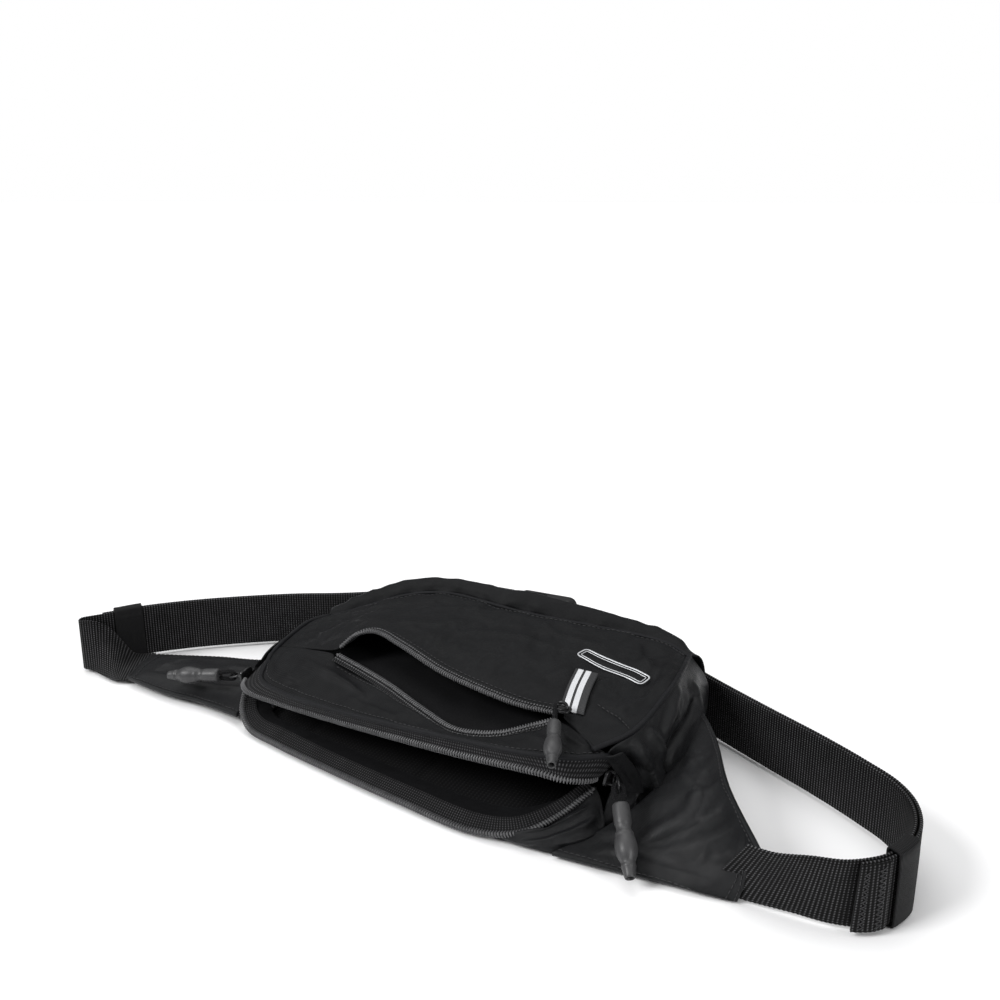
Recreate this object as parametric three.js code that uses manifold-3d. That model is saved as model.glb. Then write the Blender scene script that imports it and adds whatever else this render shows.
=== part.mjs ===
// Waist bag with its belt, lying on its padded back panel. Millimetres, +Z up.
// +X runs along the belt to the wearer's left wing, +Y towards the bottom edge of the bag.
// The origin is the middle of the back panel's underside.
import * as THREE from 'three';
import { mergeVertices } from 'three/addons/utils/BufferGeometryUtils.js';
import Module from 'manifold-3d';

const wasm = await Module();
wasm.setup();

// ---- driving dimensions ----
const FABRIC = 1.6;            // outer cloth with its lining
const TAPE = 1.0;              // zip tape
const PAD = 6;                 // foam back panel
const WING = 3.6;              // quilted hip wing
const WEB_WIDTH = 38;
const WEB_THICK = 1.6;
const LAYER = 2.5;             // pitch of two layers of webbing
const MAIN_COIL = 3.6;         // size 8 zip
const POCKET_COIL = 2.6;       // size 5 zip
const PIPING = 3.2;
const GAP = 0.5;               // room between pieces that are sewn together
const BRIDGE_HOLE = 4.1;       // middle of a slider's bridge above its seat
const WIRE_LENGTH = 10;
const MAIN_PULL = { length: 40, radius: 6, cord: 2.6 };
const POCKET_PULL = { length: 34, radius: 5, cord: 2.2 };
// a pull's moulded end from neck to hollow tip: share of its radius, share of its length
const PULL_PROFILE = [[0, 0], [0.72, 0], [0.78, 0.04], [0.78, 0.28], [0.66, 0.36], [0.95, 0.5], [1, 0.6],
  [0.88, 0.72], [0.62, 0.8], [0.5, 0.97], [0.42, 1], [0.3, 1], [0.26, 0.86], [0, 0.84]];
const BUCKLE_AT = [-20, 141, 26.5];
const BUCKLE_WIDTH = 48;
const BUCKLE_THICK = 12;

const v = (x, y, z) => new THREE.Vector3(x, y, z);
const points = list => list.map(p => v(...p));
const group = new THREE.Group();

const CLOTH = { color: 0x26272a, roughness: 0.75 };
const ZIP = { color: 0x303133, roughness: 0.8 };
const COIL = { color: 0x3a3b3d, roughness: 0.45 };
const WEBBING = { color: 0x1d1e20, roughness: 0.85 };
const RUBBER = { color: 0x2f3031, roughness: 0.6 };
const PLASTIC = { color: 0x191a1b, roughness: 0.4 };
const SILVER = { color: 0xcfd1d3, roughness: 0.4 };
const METAL = { color: 0x242527, roughness: 0.35, metalness: 0.9 };

function add(name, geometry, look, parent = group) {
  const mesh = new THREE.Mesh(geometry, new THREE.MeshStandardMaterial(look));
  mesh.name = name;
  parent.add(mesh);
  return mesh;
}

// ---- shape builders ----
function curve(list, closed = false) {
  return new THREE.CatmullRomCurve3(points(list), closed, 'centripetal');
}

function volume(position, index) {
  let sum = 0;
  for (let i = 0; i < index.length; i += 3) {
    const [a, b, c] = [0, 1, 2].map(k => v(...position.slice(3 * index[i + k], 3 * index[i + k] + 3)));
    sum += a.dot(b.cross(c));
  }
  return sum;
}

function closedGeometry(position, index) {
  if (volume(position, index) < 0) index.reverse();
  const geometry = new THREE.BufferGeometry();
  geometry.setAttribute('position', new THREE.Float32BufferAttribute(position, 3));
  geometry.setIndex(index);
  geometry.computeVertexNormals();
  return geometry;
}

// a grid of points given a wall; a positive thickness grows to the side of (along x across)
function wall(grid, thickness) {
  const rows = grid.length;
  const columns = grid[0].length;
  const at = (i, j) => grid[Math.min(Math.max(i, 0), rows - 1)][Math.min(Math.max(j, 0), columns - 1)];
  const position = [];
  for (const side of [0, thickness]) {
    for (let i = 0; i < rows; i++) {
      for (let j = 0; j < columns; j++) {
        const along = at(i, j + 1).clone().sub(at(i, j - 1));
        const across = at(i + 1, j).clone().sub(at(i - 1, j));
        const normal = along.cross(across).normalize();
        position.push(...at(i, j).clone().addScaledVector(normal, side).toArray());
      }
    }
  }
  const index = [];
  const quad = (a, b, c, d) => index.push(a, b, c, a, c, d);
  const far = rows * columns;
  for (let i = 0; i < rows - 1; i++) {
    for (let j = 0; j < columns - 1; j++) {
      const a = i * columns + j;
      quad(a, a + columns, a + columns + 1, a + 1);
      quad(far + a, far + a + 1, far + a + columns + 1, far + a + columns);
    }
  }
  const rim = [];
  for (let j = 0; j < columns - 1; j++) rim.push(j);
  for (let i = 0; i < rows - 1; i++) rim.push(i * columns + columns - 1);
  for (let j = columns - 1; j > 0; j--) rim.push((rows - 1) * columns + j);
  for (let i = rows - 1; i > 0; i--) rim.push(i * columns);
  rim.forEach((a, k) => {
    const b = rim[(k + 1) % rim.length];
    quad(a, b, far + b, far + a);
  });
  return closedGeometry(position, index);
}

// cloth lofted over guide lines, rounded across them; edges can be trimmed by a length in mm, the
// last one by less where the cloth would be left narrower than keep
function cloth(guides, thickness, columns, rows, trim = {}) {
  const { first = 0, last = 0, start = 0, end = 0, keep = 0 } = trim;
  const lines = guides.map(list => curve(list));
  const grid = [];
  const strips = [];
  const matched = guides.every(list => list.length === guides[0].length);
  for (let j = 0; j < columns; j++) {
    const length = lines[0].getLength();
    const u = THREE.MathUtils.lerp(start / length, 1 - end / length, j / (columns - 1));
    const across = lines.map(line => (matched ? line.getPoint(u) : line.getPointAt(u)));
    strips.push(new THREE.CatmullRomCurve3(across, false, 'centripetal'));
  }
  for (let i = 0; i < rows; i++) {
    grid.push(strips.map(strip => {
      const length = strip.getLength();
      const farEdge = length - Math.min(last, length - first - keep);
      return strip.getPointAt(THREE.MathUtils.lerp(first, farEdge, i / (rows - 1)) / length);
    }));
  }
  return wall(grid, thickness);
}

// a wire bent into a closed loop that lies in the x-z plane
function wireLoop(list, diameter, steps, sides) {
  const line = curve(list, true);
  const position = [];
  const index = [];
  for (let i = 0; i < steps; i++) {
    const out = v(0, 1, 0).cross(line.getTangentAt(i / steps));
    for (let k = 0; k < sides; k++) {
      const turn = (2 * Math.PI * k) / sides;
      const point = line.getPointAt(i / steps).addScaledVector(out, diameter / 2 * Math.cos(turn));
      position.push(point.x, point.y + diameter / 2 * Math.sin(turn), point.z);
      const [a, b] = [i * sides + k, i * sides + (k + 1) % sides];
      const [c, d] = [a, b].map(n => (n + sides) % (steps * sides));
      index.push(a, b, d, a, d, c);
    }
  }
  return closedGeometry(position, index);
}

function tube(list, diameter, steps, sides = 8) {
  const section = new THREE.Shape();
  for (let k = 0; k < sides; k++) {
    const turn = (2 * Math.PI * k) / sides;
    section[k ? 'lineTo' : 'moveTo'](diameter / 2 * Math.cos(turn), diameter / 2 * Math.sin(turn));
  }
  return new THREE.ExtrudeGeometry(section, { extrudePath: curve(list), steps });
}

// flat webbing along a route of [x, y, z] with its width held along matching directions
function ribbon(route, ups, steps, shift = 0, from = 0, to = 1, width = WEB_WIDTH, thick = WEB_THICK) {
  const line = curve(route);
  const lean = curve(ups);
  const inner = [];
  for (const side of [-0.5, 0.5]) {
    const row = [];
    for (let j = 0; j <= steps; j++) {
      const u = THREE.MathUtils.lerp(from, to, j / steps);
      const t = line.getUtoTmapping(u);
      const up = lean.getPoint(t).normalize();
      const out = line.getTangent(t).cross(up).normalize();
      row.push(line.getPoint(t).addScaledVector(out, shift - thick / 2).addScaledVector(up, side * width));
    }
    inner.push(row);
  }
  return wall(inner, thick);
}

function solid(geometry, matrix = new THREE.Matrix4()) {
  const bare = geometry.clone().applyMatrix4(matrix);
  bare.deleteAttribute('normal');
  bare.deleteAttribute('uv');
  const merged = mergeVertices(bare, 1e-4);
  return new wasm.Manifold(new wasm.Mesh({
    numProp: 3,
    vertProperties: Float32Array.from(merged.attributes.position.array),
    triVerts: Uint32Array.from(merged.index.array),
  }));
}

function fromSolid(body) {
  const mesh = body.getMesh();
  return closedGeometry(Array.from(mesh.vertProperties), Array.from(mesh.triVerts));
}

const block = (x0, x1, y0, y1, z0, z1) => solid(
  new THREE.BoxGeometry(x1 - x0, y1 - y0, z1 - z0),
  new THREE.Matrix4().makeTranslation((x0 + x1) / 2, (y0 + y1) / 2, (z0 + z1) / 2));

function roundedShape(width, height, radius) {
  const [x, y] = [width / 2, height / 2];
  const shape = new THREE.Shape();
  shape.moveTo(-x + radius, -y);
  shape.lineTo(x - radius, -y);
  shape.absarc(x - radius, -y + radius, radius, -Math.PI / 2, 0);
  shape.absarc(x - radius, y - radius, radius, 0, Math.PI / 2);
  shape.absarc(-x + radius, y - radius, radius, Math.PI / 2, Math.PI);
  shape.absarc(-x + radius, -y + radius, radius, Math.PI, Math.PI * 1.5);
  return shape;
}

// ---- the main zip turns a corner at each end, on the arc that its slider runs round ----
function arc(centre, first, second, angles) {
  return angles.map(angle => {
    const turn = THREE.MathUtils.degToRad(angle);
    const [a, b] = [v(...first), v(...second)];
    return v(...centre).addScaledVector(a, Math.cos(turn)).addScaledVector(b, Math.sin(turn)).toArray();
  });
}
const RIGHT_CENTRE = [88, -54, 40];
const RIGHT_PARKED = [26, 0, -4];
const LEFT_CENTRE = [-127, -27, 28];
const LEFT_PARKED = [-20, 0, 0];
const RIGHT_CORNER = arc(RIGHT_CENTRE, RIGHT_PARKED, [0, -26, 4], [90, 60, 30, 12]);
const LEFT_CORNER = arc(LEFT_CENTRE, LEFT_PARKED, [0, -20, 0], [15, 40, 70]);

// ---- seams and edges of the bag, left to right as seen from above ----
const NEAR_SEAM = [[-131, -24, 45], [-122, -46, 39], [-100, -54, 38], [-60, -62, 40], [-5, -69, 44],
  [40, -74, 48], [85, -76, 51], [110, -67, 53]];
const MAIN_LIP = [...LEFT_CORNER, [-104, -52, 29], [-60, -60, 32], [-5, -70, 37], [40, -77, 41],
  ...RIGHT_CORNER];
const LOWER_LIP = [[-145, -35, 21], [-140, -45, 12], [-129, -52, 5], [-104, -59, 4], [-60, -69, 4],
  [0, -81, 4], [54, -89, 4], [80, -85, 8.5], [97, -70, 16], [107, -61, 25], [111, -58, 29]];
const POCKET_UPPER = [[-77, -22, 60], [-70, -14, 67], [-58, -10, 70], [-36, -15, 67], [0, -28, 62],
  [32, -35, 59], [57, -38, 57], [80, -38, 57]];
const POCKET_LOWER = [[-77, -25.5, 57], [-58, -28, 53], [-32, -36, 50], [0, -50, 47], [28, -61, 46],
  [52, -58, 48], [68, -50, 52], [80, -42, 55]];
const FAR_SEAM = [[-124, 34, 53], [-104, 54, 58], [-80, 65, 66], [-50, 70, 71], [10, 68, 68],
  [60, 71, 66], [108, 73, 63], [128, 60, 62]];
const BASE_FAR = [[-132, 50, 5], [-112, 72, 5], [-80, 77, 5], [0, 77, 5], [80, 77, 5], [112, 74, 5],
  [132, 54, 5]];

// ---- padded back panel with mesh lining ----
const panel = new THREE.Shape();
panel.moveTo(-134, -36);
panel.quadraticCurveTo(-132, -49, -112, -54);
panel.lineTo(48, -84);
panel.quadraticCurveTo(92, -90, 116, -62);
panel.quadraticCurveTo(136, -34, 136, 10);
panel.lineTo(132, 48);
panel.quadraticCurveTo(128, 72, 102, 74);
panel.lineTo(-102, 74);
panel.quadraticCurveTo(-128, 72, -132, 46);
panel.closePath();
const padding = { depth: PAD - 2, bevelSize: 1.5, bevelThickness: 1, bevelSegments: 2, bevelOffset: -1.5, curveSegments: 8 };
add('back_panel', new THREE.ExtrudeGeometry(panel, padding), CLOTH).position.z = 1;

// ---- front: main panel, pocket panel, zip line between them ----
const ZIP_LINE_UPPER = [[-131, -12, 48], [-104, -17, 54], ...POCKET_UPPER, [98, -48, 56], [112, -61, 54]];
const ZIP_LINE_LOWER = [[-131, -17, 47], [-104, -22, 53], ...POCKET_LOWER, [94, -52, 55], [105, -64, 54]];
const FRONT_MIDDLE = [[-132, 4, 50], [-105, 6, 57], [-75, 10, 66], [-40, 10, 69], [0, 2, 66],
  [40, -4, 64], [80, -8, 62], [110, -22, 60], [126, -40, 58]];
const FRONT_FAR = [[-131, 22, 52], [-100, 34, 60], [-60, 40, 69], [0, 38, 68], [60, 38, 66],
  [105, 34, 65], [132, 20, 64]];
const edge = PIPING / 2 + GAP;
const pocketTape = 5;
add('front_panel', cloth([ZIP_LINE_UPPER, FRONT_MIDDLE, FRONT_FAR, FAR_SEAM], -FABRIC, 26, 8,
  { first: pocketTape, last: edge, start: edge, end: edge }), CLOTH);
add('pocket_panel', cloth([NEAR_SEAM, ZIP_LINE_LOWER], -FABRIC, 24, 3,
  { first: edge + 0.6, last: pocketTape + 1, start: 6, end: 4, keep: 2.2 }), CLOTH);

add('front_piping', tube(NEAR_SEAM, PIPING, 30), CLOTH);

// ---- bottom gusset, rolling over the far seam and down to the back panel ----
const ROLL = [[-130, 46, 50], [-108, 68, 58], [-78, 78, 68], [-50, 81, 71], [10, 80, 68],
  [60, 82, 66], [108, 84, 60], [134, 66, 56]];
const BASE_BULGE = [[-137, 50, 26], [-112, 77, 28], [-80, 84, 32], [-40, 86, 34], [10, 86, 34],
  [60, 87, 32], [112, 84, 28], [138, 60, 28]];
add('bottom_gusset', cloth([FAR_SEAM, ROLL, BASE_BULGE, BASE_FAR], FABRIC, 22, 9,
  { first: edge, last: 3, start: 3, end: 3 }), CLOTH);

// ---- side gussets, from the sliders back to the bottom gusset ----
const LEFT_TOP = [[-145, -19, 32], [-137, -14, 44], [-136, 4, 47], [-134, 24, 49], [-129, 38, 49]];
const LEFT_MIDDLE = [[-148, -22, 19], [-145, -10, 26], [-144, 10, 28], [-141, 32, 29], [-137, 44, 28]];
const LEFT_BASE = [[-144, -32, 6], [-139, -12, 3], [-139, 10, 3], [-138, 32, 3], [-136, 46, 4]];
add('right_gusset', cloth([
  [[120, -43, 38], [121, -53, 50], [130, -40, 57], [136, 0, 62], [137, 44, 61]],
  [[123, -42, 32], [136, -36, 36], [142, -18, 40], [145, 8, 42], [142, 48, 42]],
  [[118, -54, 20], [136, -38, 20], [143, -10, 20], [144, 20, 20], [142, 50, 20]],
  [[116, -60, 7], [134, -34, 4], [140, 0, 3], [139, 26, 3], [137, 50, 4]],
], -FABRIC, 12, 8), CLOTH);
add('left_gusset', cloth([LEFT_TOP, LEFT_MIDDLE, LEFT_BASE], FABRIC, 10, 7), CLOTH);

// ---- main zip: upper half on the front, lower half on the back panel ----
const TAPE_EDGE = [...LEFT_CORNER.slice(1), ...MAIN_LIP.slice(3, 7), RIGHT_CORNER[0], RIGHT_CORNER[2]];
add('main_zip_upper_tape', cloth([NEAR_SEAM, TAPE_EDGE], TAPE, 24, 3,
  { first: edge + 0.4, last: MAIN_COIL / 2 + GAP + 0.6, start: 6, end: 3 }), ZIP);
add('main_zip_upper_coil', tube(MAIN_LIP, MAIN_COIL, 44), COIL);
add('main_zip_lower_coil', tube(LOWER_LIP, MAIN_COIL, 44), COIL);
const LOWER_EDGE = [[-139, -31, 20], [-134, -38, 13], [-125, -44, 10.5], [-102, -49, 9.4], [-58, -59, 8.6],
  [2, -71, 8.6], [53, -79, 8.8], [74, -77, 12], [90, -65, 18], [100, -57, 26], [104, -54, 30]];
add('main_zip_lower_tape', cloth([LOWER_LIP, LOWER_EDGE], TAPE, 36, 3,
  { first: MAIN_COIL / 2 + GAP, start: 4, end: 4 }), ZIP);

// ---- front pocket: zip halves and the lining that keeps it apart from the main room ----
add('pocket_zip_upper_coil', tube(POCKET_UPPER, POCKET_COIL, 30, 6), COIL);
add('pocket_zip_lower_coil', tube(POCKET_LOWER, POCKET_COIL, 30, 6), COIL);
const upperCloth = POCKET_UPPER.map(([x, y, z]) => [x, y + pocketTape - 0.6, z + 0.6]);
const lowerCloth = POCKET_LOWER.map(([x, y, z], k) => [x, y - pocketTape + 0.8, z - (k && k < 7 ? 1.2 : 1)]);
const tapeTrim = { first: POCKET_COIL / 2 + 0.6, last: 0.8, start: 3, end: 5 };
add('pocket_zip_upper_tape', cloth([POCKET_UPPER, upperCloth], -TAPE, 26, 2, tapeTrim), ZIP);
add('pocket_zip_lower_tape', cloth([POCKET_LOWER, lowerCloth], TAPE, 26, 2, { ...tapeTrim, last: 2 }), ZIP);
add('pocket_lining', cloth([
  [[-116, -34, 37], [-60, -50, 37], [-5, -58, 38], [60, -64, 41], [96, -54, 45]],
  [[-116, -8, 42], [-60, -24, 45], [0, -38, 41], [60, -42, 44], [104, -30, 50]],
  [[-112, 20, 46], [-60, 24, 54], [0, 20, 52], [60, 20, 52], [112, 10, 54]],
  [[-96, 48, 50], [-60, 60, 60], [0, 60, 59], [60, 62, 57], [112, 60, 55]],
], -FABRIC, 14, 7), CLOTH);

// ---- hip wings ----
add('right_wing', cloth([
  [[100, -91, 1.5], [124, -88, 1.5], [158, -85, 1.5], [196, -79, 1.5]],
  [[134, -68, 9], [148, -68, 10], [172, -72, 12], [200, -80, 13]],
  [[151, -34, 24], [161, -40, 26], [178, -54, 27], [203, -81, 24]],
  [[153, 32, 40], [163, 2, 41], [181, -42, 39], [207, -83, 34]],
], WING, 14, 9), CLOTH);
add('left_wing', cloth([
  [[-152, 30, 12], [-180, 23, 9], [-216, 19, 6], [-264, 2, 5.5]],
  [[-156, -6, 13], [-184, -8, 11], [-220, -8, 9], [-260, -14, 6]],
  [[-154, -44, 4.5], [-185, -39, 4.5], [-215, -39, 4.5], [-254, -33, 4.5]],
], WING, 14, 7), CLOTH);

// ---- belt webbing, standing on edge behind the bag ----
const RIGHT_ROUTE = [[206, -83, 19.6], [226, -83, 21.5], [243, -81, 21.5], [257, -74, 21.5], [267, -59, 21.5],
  [271, -38, 21.5], [267, -17, 21.5], [257, -1, 21.5], [240, 13, 21.5], [214, 31, 21.5], [176, 54, 21.5],
  [134, 80, 22], [90, 108, 24], [56, 129, 26.4], [34, 140, 26.5], [19.4, 141, 26.5]];
const RIGHT_LEAN = RIGHT_ROUTE.map((p, k) => (k < 3 ? [0.3 - 0.1 * k, -0.2 + 0.07 * k, 0.93] : [0, 0, 1]));
const LEFT_ROUTE = [[-270, -17, 6], [-281, -23, 17], [-292, -27, 21.5], [-300, -28.5, 21.5], [-303, -24, 21.5],
  [-298, -16, 21.5], [-289, -4, 21.5], [-278, 12, 21.5], [-253, 37, 21.5], [-220, 63, 21.5], [-190, 83, 21.5],
  [-156, 100, 22], [-112, 124, 24], [-84, 137, 26.4], [-66, 141, 26.5], [-51.4, 141, 26.5]];
const LEFT_LEAN = LEFT_ROUTE.map((p, k) => [[-0.46, 0.88, 0.1], [-0.4, 0.55, 0.73], [-0.1, 0.1, 0.99]][k] ?? [0, 0, 1]);
add('right_webbing', ribbon(RIGHT_ROUTE, RIGHT_LEAN, 56), WEBBING);
add('left_webbing', ribbon(LEFT_ROUTE, LEFT_LEAN, 56), WEBBING);
add('right_tail', ribbon(RIGHT_ROUTE, RIGHT_LEAN, 50, LAYER, 0.105, 0.99), WEBBING);
add('left_tail', ribbon(LEFT_ROUTE, LEFT_LEAN, 40, -LAYER, 0.16, 0.99), WEBBING);

// ---- keepers: elastic loops that hold each tail against the belt ----
function keeper(name, at, heading, length) {
  const room = { across: 7.4, high: WEB_WIDTH + 1.4 };
  const shell = 1.4;
  const outer = block(-length / 2, length / 2, -room.across / 2 - shell, room.across / 2 + shell,
    -room.high / 2 - shell, room.high / 2 + shell);
  const inner = block(-length, length, -room.across / 2, room.across / 2, -room.high / 2, room.high / 2);
  const mesh = add(name, fromSolid(outer.subtract(inner)), CLOTH);
  mesh.position.set(...at);
  mesh.rotation.z = THREE.MathUtils.degToRad(heading);
}
keeper('right_keeper', [267.5, -60.4, 21.8], 67, 12);
keeper('left_keeper', [-284.4, 4.2, 21.8], 55, 14);

// ---- side-release buckle behind the bag, standing on edge: x along the belt, z across it ----
const HALF = BUCKLE_WIDTH / 2;
const DEEP = BUCKLE_THICK / 2;
const ROOM = HALF - 4.5;
const socket = new THREE.Group();
socket.position.set(...BUCKLE_AT);
group.add(socket);

function plate(width, height, radius, thickness) {
  const shape = new THREE.ExtrudeGeometry(roundedShape(width, height, radius),
    { depth: thickness, bevelEnabled: false, curveSegments: 4 });
  return shape.rotateX(Math.PI / 2).translate(0, thickness / 2, 0);
}
const slot = (x0, x1) => block(x0, x1, -20, 20, -WEB_WIDTH / 2 - 1, WEB_WIDTH / 2 + 1);
const socketBody = solid(plate(46, BUCKLE_WIDTH, 6, BUCKLE_THICK).translate(15, 0, 0))
  .subtract(block(-9, 18, -3.8, 3.8, -ROOM, ROOM))
  .subtract(block(4, 15, -3.8, 3.8, -HALF - 1, HALF + 1))
  .subtract(slot(22, 26.5))
  .subtract(slot(30, 34.5));
add('buckle_socket', fromSolid(socketBody), PLASTIC, socket);

const plugBody = solid(plate(22, BUCKLE_WIDTH - 2, 5, 9).translate(-19.4, 0, 0))
  .subtract(slot(-28, -24))
  .subtract(slot(-20.5, -16.5))
  .add(block(-9, 14, -3, 3, -4, 4));
add('buckle_plug', fromSolid(plugBody), PLASTIC, socket);

for (const [name, side] of [['upper_prong', 1], ['lower_prong', -1]]) {
  const outline = new THREE.Shape();
  outline.moveTo(-7.9, 12);
  outline.lineTo(4, 13.5);
  outline.quadraticCurveTo(14, 11.5, 14.5, 15);
  outline.quadraticCurveTo(13, 18.6, 5, 19);
  outline.lineTo(4, 16.5);
  outline.lineTo(-7.9, 16.5);
  outline.closePath();
  const arm = new THREE.ExtrudeGeometry(outline, { depth: 6, bevelEnabled: false, curveSegments: 4 });
  arm.rotateX(side * Math.PI / 2).translate(0, side * 3, 0);
  add(name, arm, PLASTIC, socket);
}

// ---- label tab, sewn on beside the pocket slider ----
add('pocket_tab', cloth([
  [[80, -33, 59.2], [76.5, -14, 62.6], [74, 5, 64.9]],
  [[95, -34, 59.6], [91.5, -15, 62.8], [89, 4, 64.8]],
], 1.2, 10, 2), WEBBING);

// ---- sliders and their pulls ----
// A slider's own frame: x along the zip, y away from the bag, z across the tape. The hole in
// its bridge runs along x, or across the tape where the turn is 0.
function slider(name, at, along, outward, scale, turn = Math.PI / 2) {
  const arch = new THREE.Shape();
  arch.moveTo(-4.5, 0);
  arch.absarc(0, 1, 4.5, Math.PI, 0, true);
  arch.lineTo(4.5, 0);
  arch.lineTo(2.8, 0);
  arch.absarc(0, 1, 2.8, 0, Math.PI, false);
  arch.lineTo(-2.8, 0);
  arch.closePath();
  const bridge = new THREE.ExtrudeGeometry(arch, { depth: 2.4, bevelEnabled: false, curveSegments: 6 });
  const crown = new THREE.ExtrudeGeometry(roundedShape(12, 9.4, 3), { depth: 2, bevelEnabled: false, curveSegments: 3 });
  const body = solid(crown.rotateX(-Math.PI / 2)).add(solid(bridge.translate(0, 1.8, -1.2).rotateY(turn)));
  const mesh = add(name, fromSolid(body).scale(scale, scale, scale), METAL);
  const x = v(...along).normalize();
  const z = x.clone().cross(v(...outward)).normalize();
  mesh.position.set(...at);
  mesh.quaternion.setFromRotationMatrix(new THREE.Matrix4().makeBasis(x, z.clone().cross(x), z));
  return mesh.localToWorld(v(0, BRIDGE_HOLE * scale, 0));
}

function hanging(at, towards, sideways) {
  const hang = new THREE.Group();
  const z = v(...towards).normalize().negate();
  const y = z.clone().cross(sideways).normalize();
  hang.position.copy(at);
  hang.quaternion.setFromRotationMatrix(new THREE.Matrix4().makeBasis(y.clone().cross(z), y, z));
  group.add(hang);
  return hang;
}

// A pull: a wire through the bridge, a cord looped through the wire, and the moulded end on it.
function pull(name, hole, along, wireDown, tip, size) {
  const across = v(...along).normalize();
  const wire = hanging(hole, wireDown, across);
  const half = 3.8;
  const oval = [[-half, 0, -half], [-half * 0.7, 0, -0.9], [0, 0, 0], [half * 0.7, 0, -0.9], [half, 0, -half],
    [half, 0, -WIRE_LENGTH + half], [half * 0.7, 0, -WIRE_LENGTH + 0.9], [0, 0, -WIRE_LENGTH],
    [-half * 0.7, 0, -WIRE_LENGTH + 0.9], [-half, 0, -WIRE_LENGTH + half]];
  add(name + '_wire', wireLoop(oval, 1.5, 24, 6), METAL, wire);
  const knot = hole.clone().addScaledVector(v(...wireDown).normalize(), WIRE_LENGTH);
  const hang = hanging(knot, v(...tip).sub(knot).toArray(), across);
  const reach = v(...tip).distanceTo(knot);
  const neck = size.length - reach;
  const slant = v(...tip).sub(knot).normalize().cross(across).length();
  const top = (size.cord / 2 + 1.2) / slant;
  const legs = [[0, 2, neck + 0.5], [0, 2.4, neck * 0.5], [0, 2.7, top - 2.5], [0, 2, top - 0.7], [0, 0, top],
    [0, -2, top - 0.7], [0, -2.7, top - 2.5], [0, -2.4, neck * 0.5], [0, -2, neck + 0.5]];
  add(name + '_cord', tube(legs, size.cord, 20, 6), CLOTH, hang);
  const profile = PULL_PROFILE.map(([r, t]) => new THREE.Vector2(r * size.radius, neck - t * size.length));
  const lathe = new THREE.LatheGeometry(profile.reverse(), 14);
  add(name + '_end', lathe.rotateX(Math.PI / 2), RUBBER, hang);
}

const rightSlider = slider('right_slider', [116.5, -54, 35.6], [0, -1, 0.15], [1, 0, -0.15], 1, 0);
const leftSlider = slider('left_slider', [-149.5, -27, 28], [0, 1, 0], [-1, 0, 0], 1);
const pocketSlider = slider('pocket_slider', [84, -40, 60.6], [1, 0, 0], [0, 0, 1], 0.85);
pull('right_pull', rightSlider, [0.15, 0, 1], [0.56, -0.82, -0.08], [146, -98, 9], MAIN_PULL);
pull('left_pull', leftSlider, [0, 1, 0], [-0.95, 0, -0.3], [-211, -36, 19], MAIN_PULL);
pull('pocket_pull', pocketSlider, [1, 0, 0], [0, -0.98, 0.2], [100, -92, 57.5], POCKET_PULL);

export default group;
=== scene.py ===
"""A black nylon waist bag with its belt, lying on its back panel with the main zip open."""

import math

import bmesh
import bpy
import numpy as np
from mathutils import Matrix, Vector, noise


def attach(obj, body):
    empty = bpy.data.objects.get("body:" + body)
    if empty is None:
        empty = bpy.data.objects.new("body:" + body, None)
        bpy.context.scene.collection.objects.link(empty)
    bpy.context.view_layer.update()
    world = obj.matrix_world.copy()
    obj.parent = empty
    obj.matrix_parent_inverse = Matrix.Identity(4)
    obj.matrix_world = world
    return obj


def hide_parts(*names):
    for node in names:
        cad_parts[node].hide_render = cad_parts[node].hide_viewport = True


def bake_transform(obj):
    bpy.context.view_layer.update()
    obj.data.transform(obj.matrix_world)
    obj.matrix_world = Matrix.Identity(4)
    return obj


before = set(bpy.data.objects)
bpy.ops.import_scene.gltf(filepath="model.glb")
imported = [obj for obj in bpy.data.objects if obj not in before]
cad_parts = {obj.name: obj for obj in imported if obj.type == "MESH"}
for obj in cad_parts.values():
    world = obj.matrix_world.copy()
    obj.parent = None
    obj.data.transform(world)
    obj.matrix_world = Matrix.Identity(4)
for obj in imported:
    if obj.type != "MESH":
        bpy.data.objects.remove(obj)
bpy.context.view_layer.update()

MM = 0.001

# ---- camera, floor and light ----
EYE = Vector((0.2855, -0.5322, 0.335))
BACK = Vector((0.4214, -0.8640, 0.2756))
SENSOR_WIDTH, LENS_LENGTH = 36, 37.8
# the sky of the studio: its strength at the horizon and how much more there is overhead
SKY_LOW, SKY_RISE = 0.01, 1.08
# name, direction it comes from, how wide it is in degrees, strength
LAMPS = (
    ("key", (-0.60, -0.62, 0.66), 22, 2.15),
    ("top", (-0.35, 0.25, 1.0), 46, 0.70),
    ("side", (0.85, -0.35, 0.45), 18, 1.05),
)
FLOOR_HALF = 80.0  # metres from the bag to the floor's edge


def linked(name, data):
    """A new object in the scene."""
    thing = bpy.data.objects.new(name, data)
    bpy.context.scene.collection.objects.link(thing)
    return thing


def aimed(name, data, way):
    """A camera or a lamp that looks along a direction."""
    thing = linked(name, data)
    thing.rotation_mode = "QUATERNION"
    thing.rotation_quaternion = Vector(way).to_track_quat("-Z", "Y")
    return thing


def make_camera():
    lens = bpy.data.cameras.new("camera")
    lens.sensor_width, lens.lens = SENSOR_WIDTH, LENS_LENGTH
    camera = aimed("camera", lens, -BACK)
    camera.location = EYE
    bpy.context.scene.camera = camera


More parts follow.
